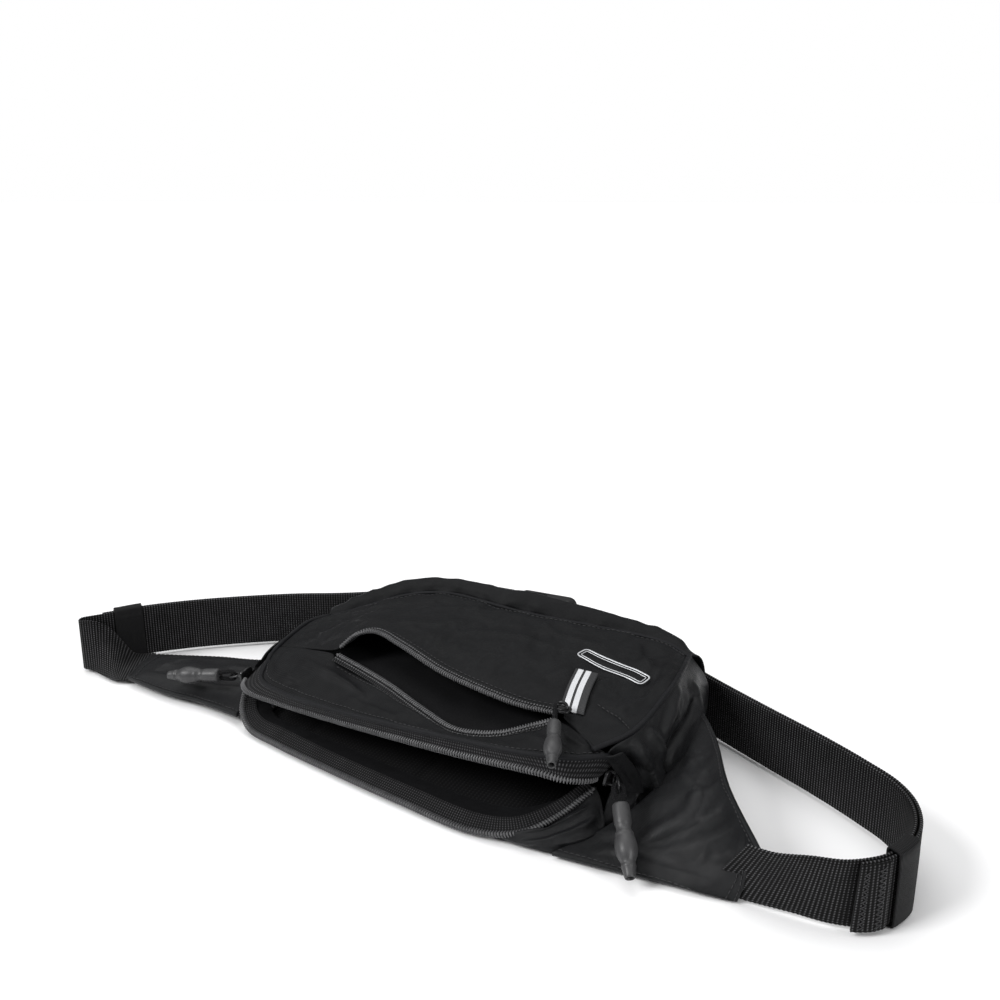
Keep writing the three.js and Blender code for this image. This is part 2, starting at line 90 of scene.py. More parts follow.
def make_studio():
    """A white floor to the horizon, three lamps, and a sky that is dark low down and bright overhead."""
    world = bpy.data.worlds.new("studio")
    world.use_nodes = True
    nodes, links = world.node_tree.nodes, world.node_tree.links
    fill = nodes["Background"]
    # the height of a direction squared, so that the sky brightens mostly overhead
    way = nodes.new("ShaderNodeSeparateXYZ")
    links.new(nodes.new("ShaderNodeTexCoord").outputs["Generated"], way.inputs[0])
    squared, sky = nodes.new("ShaderNodeMath"), nodes.new("ShaderNodeMath")
    squared.operation, sky.operation = "MULTIPLY", "MULTIPLY_ADD"
    for socket in squared.inputs[:2]:
        links.new(way.outputs[2], socket)
    links.new(squared.outputs[0], sky.inputs[0])
    sky.inputs[1].default_value, sky.inputs[2].default_value = SKY_RISE, SKY_LOW
    links.new(sky.outputs[0], fill.inputs["Strength"])
    # the camera sees plain white instead
    paper = nodes.new("ShaderNodeBackground")
    paper.inputs["Strength"].default_value = 1.0
    for background in (fill, paper):
        background.inputs["Color"].default_value = (1, 1, 1, 1)
    seen, mix = nodes.new("ShaderNodeLightPath"), nodes.new("ShaderNodeMixShader")
    links.new(seen.outputs["Is Camera Ray"], mix.inputs[0])
    links.new(fill.outputs[0], mix.inputs[1])
    links.new(paper.outputs[0], mix.inputs[2])
    links.new(mix.outputs[0], nodes["World Output"].inputs["Surface"])
    bpy.context.scene.world = world
    bpy.context.scene.view_settings.view_transform = "Standard"

    half = FLOOR_HALF
    square = [(-half, -half, 0), (half, -half, 0), (half, half, 0), (-half, half, 0)]
    floor = mesh_object("floor", square, [(0, 1, 2, 3)])
    floor.data.materials.append(plain_finish("floor_paint", (0.93, 0.93, 0.935), 0.9, specular=0.0))

    for name, place, spread, power in LAMPS:
        lamp = bpy.data.lights.new(name, "SUN")
        lamp.angle = math.radians(spread)
        lamp.energy = power
        aimed(name, lamp, -Vector(place))


# ---- lines and surfaces, in millimetres ----
def spline(knots, shares):
    """Points on the smooth line through the knots, at shares of its spans."""
    knots = np.asarray(knots, float)
    spans = len(knots) - 1
    ends = np.vstack([2 * knots[0] - knots[1], knots, 2 * knots[-1] - knots[-2]])
    place = np.clip(np.asarray(shares, float), 0, 1) * spans
    k = np.minimum(place.astype(int), spans - 1)
    w = (place - k)[:, None]
    a, b, c, d = (ends[k + n] for n in range(4))
    ab, bc, cd = (
        np.maximum(np.sqrt(np.linalg.norm(q - p, axis=1)), 1e-4)[:, None]
        for p, q in ((a, b), (b, c), (c, d))
    )
    leave = ((b - a) / ab - (c - a) / (ab + bc) + (c - b) / bc) * bc
    reach = ((c - b) / bc - (d - b) / (bc + cd) + (d - c) / cd) * bc
    bend = 3 * (c - b) - 2 * leave - reach
    return b + leave * w + bend * w**2 + (2 * (b - c) + leave + reach) * w**3


def travelled(line):
    """How far along a line each of its points is."""
    steps = np.linalg.norm(np.diff(line, axis=0), axis=1)
    return np.concatenate([[0], np.cumsum(steps)])


def fine_shares(knots):
    """Shares of a line's spans, 20 to a span."""
    return np.linspace(0, 1, 20 * (len(knots) - 1) + 1)


def even(knots, shares):
    """The shares of a line's spans at which it has run given shares of its length."""
    dense = fine_shares(knots)
    run = travelled(spline(knots, dense))
    return np.interp(np.asarray(shares) * run[-1], run, dense)


def length_of(knots):
    return travelled(spline(knots, fine_shares(knots)))[-1]


def spaced(knots, count):
    """Points at even distances on the smooth line through the knots."""
    return spline(knots, even(knots, np.linspace(0, 1, count)))


def picked(line, run, stops):
    """Points of a line, or other values along it, at distances along it."""
    return np.column_stack([np.interp(stops, run, line[:, k]) for k in range(3)])


def loft(guides, columns, rows, first=0.0, last=0.0, start=0.0, end=0.0, keep=0.0):
    """Cloth over guide lines: a grid of rows from the first guide to the last.

    First and last leave cloth out along those guides, and start and end at the guides' ends; keep is
    the least that is left.
    """
    run = length_of(guides[0])
    shares = np.linspace(start / run, 1 - end / run, columns)
    matched = all(len(g) == len(guides[0]) for g in guides)
    lines = [spline(g, shares if matched else even(g, shares)) for g in guides]
    grid = np.empty((rows, columns, 3))
    for j in range(columns):
        strip = [line[j] for line in lines]
        across = length_of(strip)
        far = across - min(last, across - first - keep)
        grid[:, j] = spline(strip, even(strip, np.linspace(first, far, rows) / across))
    return grid


def normals_of(grid):
    """A grid's unit normals: along its rows crossed with down its columns."""
    along = np.gradient(grid, axis=1)
    across = np.gradient(grid, axis=0)
    normal = np.cross(along, across)
    return normal / np.maximum(np.linalg.norm(normal, axis=2, keepdims=True), 1e-9)


def raised(grid, lift):
    """The grid moved along its normals, by one lift or by one for each point."""
    return grid + normals_of(grid) * (lift[..., None] if np.ndim(lift) else lift)


def smooth(x):
    """0 to 1, level at both ends."""
    x = np.clip(x, 0, 1)
    return x * x * (3 - 2 * x)


# ---- how cloth lies: each takes a grid and gives it back changed ----
CREASE_REACH = 7.0  # how far off the cloth a crease's line may be and still work on it
LINE_STEPS = 120


def beside(grid, path):
    """Each point against a line: how far beside it, on which side, at what share of it, how far above."""
    line = spaced(path, LINE_STEPS)
    flat = grid.reshape(-1, 3)
    normal = normals_of(grid).reshape(-1, 3)
    near = np.linalg.norm(flat[:, None] - line[None], axis=2).argmin(1)
    offset = flat - line[near]
    above = (offset * normal).sum(1)
    distance = np.linalg.norm(offset - above[:, None] * normal, axis=1)
    side = np.sign((np.cross(np.gradient(line, axis=0)[near], offset) * normal).sum(1))
    share = near / (LINE_STEPS - 1)
    return [value.reshape(grid.shape[:2]) for value in (distance, side, share, above)]


def crease(grid, path, height, width, lean=0.0, fade=0.25, valley=0.0):
    """Raises the cloth along a line, or sinks it. A lean makes one side steep; a valley runs beside it."""
    distance, side, share, above = beside(grid, path)
    x = distance / width * np.where(side * lean > 0, 1 + 2.5 * abs(lean), 1)
    shape = np.exp(-(x**2)) - valley * np.exp(-((distance / width - 2) ** 2)) * (side * (lean or 1) > 0)
    ends = smooth(np.minimum(share, 1 - share) / fade) * np.exp(-((above / CREASE_REACH) ** 2))
    return raised(grid, height * shape * ends)


def creased(grid, fade, folds):
    """Creases one after another, each a path, a height, a width, a lean and a valley."""
    for path, height, width, lean, valley in folds:
        grid = crease(grid, path, height, width, lean, fade, valley)
    return grid


def held_edges(grid, reach):
    """0 at the grid's edges and 1 further in than the reach."""
    rows, columns = grid.shape[:2]
    down = travelled(grid[:, columns // 2])
    across = travelled(grid[rows // 2])
    inside = np.minimum.outer(np.minimum(down, down[-1] - down), np.minimum(across, across[-1] - across))
    return smooth(inside / reach)


def rumple(grid, amount, size, seed, stretch=(1, 1, 1), hold=8.0, sharp=0.5):
    """Uneven cloth: soft hollows, with narrow ridges between them where sharp is high."""
    shift = Vector((17.3 * seed, 5.1 * seed, 9.7 * seed))
    scaled = grid * (np.array(stretch) / size)
    value = np.array([noise.noise(Vector(p) + shift) for p in scaled.reshape(-1, 3)])
    value = (1 - sharp) * value + sharp * (0.45 - 2 * np.abs(value))
    return raised(grid, amount * value.reshape(grid.shape[:2]) * held_edges(grid, hold))


def from_edge(grid, row):
    """How far each point is from the grid's first row or, where row is -1, its last."""
    away = np.cumsum(np.linalg.norm(np.diff(grid, axis=0), axis=2), axis=0)
    away = np.vstack([np.zeros(grid.shape[1]), away])
    return away[-1] - away if row == -1 else away


def pucker(grid, row, depth, pitch, reach, seed):
    """Small gathers that run out from a sewn edge."""
    run = travelled(grid[row])
    wave = np.array([noise.noise(Vector((s / pitch, 3.7 * seed, 0))) for s in run])
    away = from_edge(grid, row)
    return raised(grid, depth * wave * np.exp(-away / reach) * (1 - np.exp(-away / 1.2)))


def sunk(grid, row, depth, reach):
    """Draws the cloth down to a sewn edge."""
    return raised(grid, -depth * np.exp(-((from_edge(grid, row) / reach) ** 2)))


# ---- meshes ----
def shade_smooth(mesh):
    mesh.polygons.foreach_set("use_smooth", [True] * len(mesh.polygons))


def add_cloth_run(mesh, pattern):
    """A UV map that holds a pair of distances for each point, in metres."""
    layer = mesh.uv_layers.new(name="cloth_run")
    corners = np.array([loop.vertex_index for loop in mesh.loops])
    layer.data.foreach_set("uv", np.asarray(pattern, np.float32)[corners].ravel())


def mesh_object(name, points, faces, pattern=None):
    """A piece in metres; the pattern is a pair of distances for each point."""
    mesh = bpy.data.meshes.new(name)
    mesh.from_pydata([tuple(p) for p in points], [], [tuple(f) for f in faces])
    if pattern is not None:
        add_cloth_run(mesh, pattern)
    shade_smooth(mesh)
    mesh.update()
    return linked(name, mesh)


def grid_faces(rows, columns, loop=False):
    """The faces of a grid of points; in a loop, the last column joins the first."""
    faces = []
    for i in range(rows - 1):
        for j in range(columns if loop else columns - 1):
            k = (j + 1) % columns
            faces.append((i * columns + j, i * columns + k, (i + 1) * columns + k, (i + 1) * columns + j))
    return faces


def add_stack(piece, *steps):
    """Modifiers in order: ("SOLIDIFY", {settings})."""
    for kind, settings in steps:
        modifier = piece.modifiers.new(kind.lower(), kind)
        for key, value in settings.items():
            setattr(modifier, key, value)
    return piece


def subdivided(levels):
    """The stack's step that rounds a mesh, the same in view and in renders."""
    return ("SUBSURF", {"levels": levels, "render_levels": levels})


def settle(piece):
    """Applies a piece's stack."""
    graph = bpy.context.evaluated_depsgraph_get()
    done = bpy.data.meshes.new_from_object(piece.evaluated_get(graph))
    piece.modifiers.clear()
    piece.data = done
    return piece


def hand_over(piece, material, slot, *nodes, body=None, blend=None):
    """Gives a finished piece its material, the solids it stands for and what it rides on. The slot is not
    used.
    """
    piece.data.materials.clear()
    piece.data.materials.append(material)
    if nodes:
        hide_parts(*nodes)
    if blend:
        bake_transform(settle(piece))
    else:
        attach(piece, body)
    return piece


def sewn_cloth(name, grid, thickness, lift=0.0, levels=1):
    """A grid in millimetres as cloth with a wall behind it."""
    grid = raised(grid, lift)
    rows, columns = grid.shape[:2]
    across = travelled(grid[rows // 2])
    down = travelled(grid[:, columns // 2])
    pattern = [(a * MM, d * MM) for d in down for a in across]
    piece = mesh_object(name, grid.reshape(-1, 3) * MM, grid_faces(rows, columns), pattern)
    return add_stack(piece, ("SOLIDIFY", {"thickness": thickness * MM, "offset": -1}), subdivided(levels))


def rails(line, up=None):
    """Along a line: its direction, and two directions square to it that turn as little as they can."""
    along = np.gradient(line, axis=0)
    along /= np.linalg.norm(along, axis=1, keepdims=True)
    if up is None:
        up = np.array([0, 0, 1.0]) if abs(along[0][2]) < 0.9 else np.array([0, 1.0, 0])
        ups = []
        for direction in along:
            up = up - direction * up.dot(direction)
            up = up / np.linalg.norm(up)
            ups.append(up)
        up = np.array(ups)
    else:
        up = np.broadcast_to(np.asarray(up, float), line.shape)
        up = up - along * (up * along).sum(1, keepdims=True)
        up = up / np.linalg.norm(up, axis=1, keepdims=True)
    return along, np.cross(along, up), up


def swept(line, profile, up=None, scale=None, loop=False):
    """A closed profile of (across, up) carried along a line: points, faces and pattern."""
    _, across, up = rails(line, up)
    profile = np.asarray(profile, float)
    scale = np.ones(len(line)) if scale is None else np.asarray(scale)
    rings = (
        line[:, None]
        + across[:, None] * (profile[None, :, :1] * scale[:, None, None])
        + up[:, None] * (profile[None, :, 1:] * scale[:, None, None])
    )
    count, sides = rings.shape[:2]
    faces = grid_faces(count, sides, loop=True)
    if loop:
        last = (count - 1) * sides
        faces += [(last + j, last + (j + 1) % sides, (j + 1) % sides, j) for j in range(sides)]
    else:
        faces += [tuple(range(sides - 1, -1, -1)), tuple((count - 1) * sides + j for j in range(sides))]
    faces = [f[::-1] for f in faces]
    around = travelled(np.vstack([profile, profile[:1]]))[:-1]
    run = travelled(line)
    pattern = [(r * MM, a * MM) for r in run for a in around]
    return rings.reshape(-1, 3), faces, pattern


def joined(name, parts):
    """One piece out of parts in millimetres, each its points, faces and pattern."""
    points, faces, pattern, base = [], [], [], 0
    for p, f, u in parts:
        points.append(np.asarray(p, float))
        faces += [tuple(k + base for k in face) for face in f]
        pattern += list(u)
        base += len(p)
    return mesh_object(name, np.vstack(points) * MM, faces, pattern)


def ellipse(across, up, sides):
    """A profile as (across, up), with its two half widths."""
    turns = np.linspace(0, 2 * math.pi, sides, endpoint=False)
    return np.column_stack([across * np.cos(turns), up * np.sin(turns)])


def ring(radius, sides, flat=1.0):
    """A round profile, or a flattened one."""
    return ellipse(radius, radius * flat, sides)


def rounded_strip(width, thick, corner, steps=3):
    """A flat profile with rounded edges: across is its thickness, up its width."""
    outline = []
    for x, y, begin in ((1, 1, 0), (-1, 1, 90), (-1, -1, 180), (1, -1, 270)):
        for k in range(steps):
            turn = math.radians(begin + 90 * k / (steps - 1))
            outline.append((x * (thick / 2 - corner) + corner * math.cos(turn),
                            y * (width / 2 - corner) + corner * math.sin(turn)))
    return outline


def stitches(line, up, length=2.4, gap=0.9, radius=0.27):
    """A row of thread stitches lying on the cloth along a line."""
    run = travelled(line)
    parts = []
    place = gap
    while place + length < run[-1] - gap:
        stops = place + length * np.array([0, 0.12, 0.5, 0.88, 1])
        ups = picked(up, run, stops)
        thread = picked(line, run, stops) + ups * (radius * np.array([-0.7, 0.45, 0.75, 0.45, -0.7]))[:, None]
        parts.append(swept(thread, ring(radius, 5), ups, scale=[0.5, 1, 1, 1, 0.5]))
        place += length + gap
    return parts


def row_line(grid, row=None, column=None, rise=0.0):
    """A grid's row or column, with its normals, lifted a little."""
    normal = normals_of(grid)
    line, up = (grid[row], normal[row]) if row is not None else (grid[:, column], normal[:, column])
    return line + up * rise, up


def nearest(grid, gaps, count, weigh):
    """A grid's points and normals where others are close to it, as means weighed by the gaps."""
    flat, normal = grid.reshape(-1, 3), normals_of(grid).reshape(-1, 3)
    near = np.argsort(gaps, axis=1)[:, :count]
    weight = 1 / weigh(np.take_along_axis(gaps, near, 1))
    weight /= weight.sum(1, keepdims=True)
    return (flat[near] * weight[..., None]).sum(1), (normal[near] * weight[..., None]).sum(1)


def track(grid, path, count=80, rise=0.0):
    """The line on a grid that runs closest to a path, with its normals."""
    line = spaced(path, count)
    gaps = np.linalg.norm(line[:, None] - grid.reshape(-1, 3)[None], axis=2)
    on, up = nearest(grid, gaps, 4, lambda gap: gap + 0.05)
    up /= np.linalg.norm(up, axis=1, keepdims=True)
    drop = ((line - on) * up).sum(1, keepdims=True)
    return line - up * drop + up * rise, up


# ---- finishes ----
def plain_finish(name, colour, rough, metal=0.0, specular=0.5):
    material = bpy.data.materials.new(name)
    material.use_nodes = True
    shader = material.node_tree.nodes["Principled BSDF"].inputs
    shader["Base Color"].default_value = (*colour, 1)
    shader["Roughness"].default_value = rough
    shader["Metallic"].default_value = metal
    shader["Specular IOR Level"].default_value = specular
    return material


class Recipe:
    """Adds the nodes of one finish."""

    def __init__(self, material):
        self.tree = material.node_tree
        self.shader = self.tree.nodes["Principled BSDF"]

    def node(self, kind, **inputs):
        """A node with its inputs fed by name, or by number as _0, _1."""
        made = self.tree.nodes.new("ShaderNode" + kind)
        for key, value in inputs.items():
            self.feed(made.inputs[int(key[1:]) if key[0] == "_" else key.replace("_", " ")], value)
        return made

    def feed(self, socket, value):
        if isinstance(value, bpy.types.NodeSocket):
            self.tree.links.new(value, socket)
        else:
            socket.default_value = value

    def maths(self, operation, first, second=0.0):
        made = self.node("Math", _0=first, _1=second)
        made.operation = operation
        return made.outputs[0]

    def cloth_run(self):
        """The distances along and across the cloth."""
        place = self.node("UVMap")
        place.uv_map = "cloth_run"
        split = self.node("SeparateXYZ", Vector=place.outputs[0])
        return split.outputs[0], split.outputs[1]

    def object_place(self):
        return self.node("TexCoord").outputs["Object"]

    def ripple(self, distance, pitch, turn=0.0):
        """0 to 1 and back once in each pitch."""
        angle = self.maths("ADD", self.maths("MULTIPLY", distance, 2 * math.pi / (pitch * MM)), turn)
        return self.maths("MULTIPLY", self.maths("ADD", self.maths("SINE", angle), 1.0), 0.5)

    def cloud(self, size, detail=3.0, rough=0.55):
        """Soft noise of a size in millimetres."""
        place = self.object_place()
        made = self.node("TexNoise", Vector=place, Scale=1 / (size * MM), Detail=detail, Roughness=rough)
        return made.outputs["Fac"]

    def between(self, share, low, high):
        made = self.node("MapRange", Value=share)
        made.inputs["To Min"].default_value = low
        made.inputs["To Max"].default_value = high
        return made.outputs[0]

    def tint(self, share, dark, light):
        made = self.node("Mix")
        made.data_type = "RGBA"
        self.feed(made.inputs["Factor"], share)
        made.inputs[6].default_value = (*dark, 1)
        made.inputs[7].default_value = (*light, 1)
        self.feed(self.shader.inputs["Base Color"], made.outputs[2])

    def relief(self, height, depth, strength=1.0):
        """Bump of a real depth in millimetres."""
        made = self.node("Bump", Height=height, Distance=depth * MM, Strength=strength)
        self.feed(self.shader.inputs["Normal"], made.outputs[0])

    def set(self, **sockets):
        for key, value in sockets.items():
            self.shader.inputs[key.replace("_", " ")].default_value = value


NYLON_THREAD = 0.55
TAB_STRIPES = ((2.0, 5.4), (7.0, 10.4))


def nylon_finish(name, dark, light, rough=0.46, sheen=0.01, gloss=0.09):
    """Fine plain-woven nylon with a soft sheen, a little uneven in colour."""
    material = plain_finish(name, light, rough, specular=gloss)
    mix = Recipe(material)
    warp, weft = mix.cloth_run()
    weave = mix.maths("MULTIPLY", mix.ripple(warp, NYLON_THREAD), mix.ripple(weft, NYLON_THREAD))
    worn = mix.maths("MULTIPLY", mix.cloud(26), 0.8)
    mix.tint(mix.maths("ADD", worn, mix.maths("MULTIPLY", weave, 0.25)), dark, light)
    mix.feed(mix.shader.inputs["Roughness"], mix.between(mix.cloud(11), rough - 0.07, rough + 0.09))
    soft = mix.maths("MULTIPLY", mix.cloud(3.5, 4.0), 1.6)
    crinkle = mix.maths("MULTIPLY", mix.cloud(9, 2.0, 0.4), 7.0)
    mix.relief(mix.maths("ADD", mix.maths("ADD", weave, soft), crinkle), 0.10, 0.75)
    mix.set(Sheen_Weight=sheen, Sheen_Roughness=0.45, Sheen_Tint=(0.9, 0.93, 1.0, 1))
    return material


def webbing_finish(name, dark, light, rib, yarn, rough=0.62):
    """Ribs across the webbing, with a speck of light on the top of each yarn."""
    material = plain_finish(name, light, rough, specular=0.10)
    mix = Recipe(material)
    run, width = mix.cloth_run()
    ribs, yarns = mix.ripple(run, rib), mix.ripple(width, yarn)
    specks = mix.maths("MULTIPLY", mix.maths("POWER", ribs, 3.0), yarns)
    patch = mix.between(mix.cloud(9, 2.0), 0.35, 1.15)
    mix.tint(mix.maths("MULTIPLY", specks, patch), dark, light)
    mix.relief(mix.maths("ADD", specks, mix.maths("MULTIPLY", yarns, 0.4)), 0.25, 0.8)
    mix.set(Sheen_Weight=0.02, Sheen_Roughness=0.5)
    return material


def moulded_finish(name, dark, light, rough, grain, depth, specular=0.4, metal=0.0):
    """Moulded rubber, plastic or painted metal with a fine grain."""
    material = plain_finish(name, light, rough, metal, specular)
    mix = Recipe(material)
    mix.tint(mix.cloud(grain * 6), dark, light)
    mix.feed(mix.shader.inputs["Roughness"], mix.between(mix.cloud(grain * 3), rough - 0.08, rough + 0.08))
    mix.relief(mix.cloud(grain, 2.0), depth, 0.6)
    return material


def stripe_finish():
    """Black webbing with two pale woven stripes running along it."""
    material = plain_finish("tab_stripes", (0.5, 0.5, 0.5), 0.6, specular=0.3)
    mix = Recipe(material)
    run, width = mix.cloth_run()
    grain = mix.maths("MULTIPLY", mix.ripple(run, 0.9), mix.ripple(width, 0.75))
    bands = None
    for low, high in TAB_STRIPES:
        band = mix.maths("MULTIPLY", mix.maths("GREATER_THAN", width, low * MM),
                         mix.maths("LESS_THAN", width, high * MM))
        bands = band if bands is None else mix.maths("ADD", bands, band)
    shade = mix.maths("ADD", mix.maths("MULTIPLY", bands, 0.86), mix.maths("MULTIPLY", grain, 0.1))
    mix.tint(shade, (0.012, 0.012, 0.013), (0.68, 0.69, 0.71))
    mix.relief(grain, 0.2, 0.6)
    return material


BLACK, NIGHT = (0.0042, 0.0043, 0.0047), (0.0115, 0.0118, 0.0127)

make_camera()
make_studio()

shell = nylon_finish("shell_nylon", BLACK, NIGHT)
inside = nylon_finish("inside_nylon", (0.003, 0.003, 0.0033), (0.006, 0.006, 0.0066), 0.75, 0.02)
# The shell's nylon again, painted lighter and given more gloss, for the wings, the right gusset and the mouth
# corner: its lighter colour is painted light.
painted_lit_cloth = nylon_finish("painted_lit_nylon", (0.0056, 0.0058, 0.0064), (0.0128, 0.0132, 0.0143), 0.40, gloss=0.18)
piping_cloth = nylon_finish("piping_nylon", (0.008, 0.008, 0.009), (0.015, 0.0155, 0.017), 0.5)
tape_weave = webbing_finish("zip_tape_weave", (0.004, 0.004, 0.0044), (0.10, 0.10, 0.104), 1.6, 1.5, 0.7)
belt_weave = webbing_finish("belt_weave", (0.0014, 0.0014, 0.0015), (0.14, 0.14, 0.146), 1.9, 1.5)
elastic_weave = webbing_finish("elastic_weave", (0.009, 0.009, 0.0095), (0.018, 0.018, 0.019), 1.0, 0.9)
coil_plastic = moulded_finish("coil_plastic", (0.05, 0.05, 0.052), (0.15, 0.15, 0.155), 0.30, 0.8, 0.05)
buckle_plastic = moulded_finish("buckle_plastic", (0.009, 0.009, 0.0095), (0.014, 0.014, 0.015), 0.42, 0.6,
                                0.06)
pull_rubber = moulded_finish("pull_rubber", (0.026, 0.026, 0.027), (0.055, 0.055, 0.057), 0.42, 0.7, 0.12)
slider_metal = moulded_finish("slider_metal", (0.02, 0.02, 0.021), (0.04, 0.04, 0.042), 0.3, 1.2, 0.04,
                              specular=0.5, metal=0.6)
cord_yarn = webbing_finish("cord_yarn", (0.008, 0.008, 0.009), (0.05, 0.05, 0.052), 0.8, 0.5, 0.65)
thread = moulded_finish("thread", (0.014, 0.014, 0.015), (0.03, 0.03, 0.032), 0.55, 0.5, 0.03)
label_foil = moulded_finish("label_foil", (0.52, 0.53, 0.55), (0.66, 0.67, 0.69), 0.38, 0.9, 0.04,
                            specular=0.5, metal=0.35)
zip_thread = moulded_finish("zip_thread", (0.07, 0.07, 0.073), (0.17, 0.17, 0.175), 0.5, 0.5, 0.03)
mesh_lining = webbing_finish("mesh_lining", (0.004, 0.004, 0.0045), (0.02, 0.02, 0.021), 2.4, 2.4, 0.8)
tab_weave = stripe_finish()


# ---- seams and edges of the bag, left to right as seen from above ----
def corner(centre, first, second, angles):
    """Points round a corner of the mouth, which its slider runs along."""
    centre, first, second = (np.array(p) for p in (centre, first, second))
    turns = [math.radians(a) for a in angles]
    return [tuple(centre + first * math.cos(t) + second * math.sin(t)) for t in turns]


RIGHT_CORNER = corner((88, -54, 40), (26, 0, -4), (0, -26, 4), (90, 60, 30, 12))
LEFT_CORNER = corner((-127, -27, 28), (-20, 0, 0), (0, -20, 0), (15, 40, 70))
NEAR_SEAM = [(-131, -24, 45), (-122, -46, 39), (-100, -54, 38), (-60, -62, 40), (-5, -69, 44), (40, -74, 48),
             (80, -76, 51), (104, -71, 52), (117, -59, 50), (120.5, -51.5, 45)]
MAIN_LIP = [*LEFT_CORNER, (-104, -52, 29), (-60, -60, 32), (-5, -70, 37), (40, -77, 41), *RIGHT_CORNER]
LOWER_LIP = [(-145, -35, 21), (-140, -45, 12), (-129, -52, 5), (-104, -59, 4), (-60, -69, 4), (0, -81, 4),
             (54, -89, 4), (80, -85, 8.5), (97, -70, 16), (107, -61, 25), (111, -58, 29)]
LOWER_EDGE = [(-139, -31, 20), (-134, -38, 13), (-125, -44, 10.5), (-102, -49, 9.4), (-58, -59, 8.6),
              (2, -71, 8.6), (53, -79, 8.8), (74, -77, 12), (90, -65, 18), (100, -57, 26), (104, -54, 30)]
POCKET_UPPER = [(-77, -22, 60), (-70, -14, 67), (-58, -10, 70), (-36, -15, 67), (0, -28, 62), (32, -35, 59),
                (57, -38, 57), (80, -38, 57)]
POCKET_LOWER = [(-77, -25.5, 57), (-58, -28, 53), (-32, -36, 50), (0, -50, 47), (28, -61, 46), (52, -58, 48),
                (68, -50, 52), (80, -42, 55)]
FRONT_MIDDLE = [(-132, 4, 50), (-105, 6, 57), (-75, 10, 66), (-40, 10, 69), (0, 2, 66), (40, -4, 64),
                (80, -8, 62), (110, -22, 60), (126, -40, 58)]
FRONT_FAR = [(-131, 22, 52), (-100, 34, 60), (-60, 40, 69), (0, 38, 68), (60, 38, 66), (105, 34, 65),
             (132, 20, 64)]
FAR_SEAM = [(-124, 34, 53), (-104, 54, 58), (-80, 65, 66), (-50, 70, 71), (10, 68, 68), (60, 71, 66),
            (108, 73, 63), (128, 60, 62)]
ROLL = [(-130, 45, 52), (-108, 65, 62.5), (-80, 75, 73), (-50, 79, 77), (-14, 79, 77), (34, 80, 75.5),
        (64, 82, 70.5), (108, 84, 63), (134, 66, 57)]
BASE_BULGE = [(-137, 50, 26), (-112, 77, 28), (-80, 84, 32), (-40, 86, 34), (10, 86, 34), (60, 87, 32),
              (112, 84, 28), (138, 60, 28)]
BASE_FAR = [(-132, 50, 5), (-112, 72, 5), (-80, 77, 5), (0, 77, 5), (80, 77, 5), (112, 74, 5), (132, 54, 5)]
POCKET_TAPE = 5.0
PIPING = 3.2
# cloth between two bodies: the first and the second, with a place by each; a piece given one of these is only
# baked where it lies
GUSSET_BLEND = ("bag", "front", (0, 0, 0.005), (0, 0, 0.045))
LIP_BLEND = ("bag", "front", (0, 0, 0.008), (0, 0, 0.030))
CORNER_BLEND = ("bag", "front", (0, 0, 0.012), (0, 0, 0.034))
WING_BLEND = ("bag", "front", (0.185, -0.070, 0.010), (0.148, 0.020, 0.040))
BELT_BLEND = ("bag", "buckle_plug", (-0.20, 0.078, 0.02), (-0.066, 0.141, 0.0265))


# ---- the front: main panel, pocket panel and the seams round them ----
# where the pocket's mouth ends, and over how far its edges run up to the seam
POCKET_LEFT, POCKET_RIGHT, POCKET_FADE = -80, 85, 5


def pocket_window(guide, columns):
    """1 along the pocket's mouth and 0 beyond its ends."""
    x = spaced(guide, columns)[:, 0]
    return smooth((x - POCKET_LEFT) / POCKET_FADE) * smooth((POCKET_RIGHT - x) / POCKET_FADE)


def loft_to_zip(guides, columns, rows, first, last, gap_on_first, guide, **trims):
    """A loft whose edge keeps clear of the pocket zip, and runs up to the seam beyond the zip's ends."""
    full = loft(guides, columns, rows, first, last, **trims)
    near = loft(guides, columns, rows, 0.2 if gap_on_first else first, last if gap_on_first else 0.2, **trims)
    window = pocket_window(guide, columns)[None, :, None]
    return full * window + near * (1 - window)


SEAM_LEFT, SEAM_RIGHT = [(-131, -14.5, 47.5), (-104, -19.5, 53.5)], [(97, -50, 55.5), (111, -62, 54)]
UPPER_SEAM = [*SEAM_LEFT, *POCKET_UPPER, *SEAM_RIGHT]
LOWER_SEAM = [*SEAM_LEFT, *POCKET_LOWER, *SEAM_RIGHT]
RIGHT_SIDE_SEAM = [(111, -62, 54), (125.5, -40, 57.5), (131, 0, 62), (132, 20, 64), (128, 60, 62)]
LEFT_SIDE_SEAM = [(-131, -24, 45), (-132.5, -14, 47), (-133, 4, 50), (-132, 22, 52), (-124.5, 34, 53)]
CORNER_ROW = [(98, -23.5, 59.5), (108, -27.5, 59), (117, -32.5, 58.5), (124, -39.5, 57.5)]
SEAM_STEPS = 150


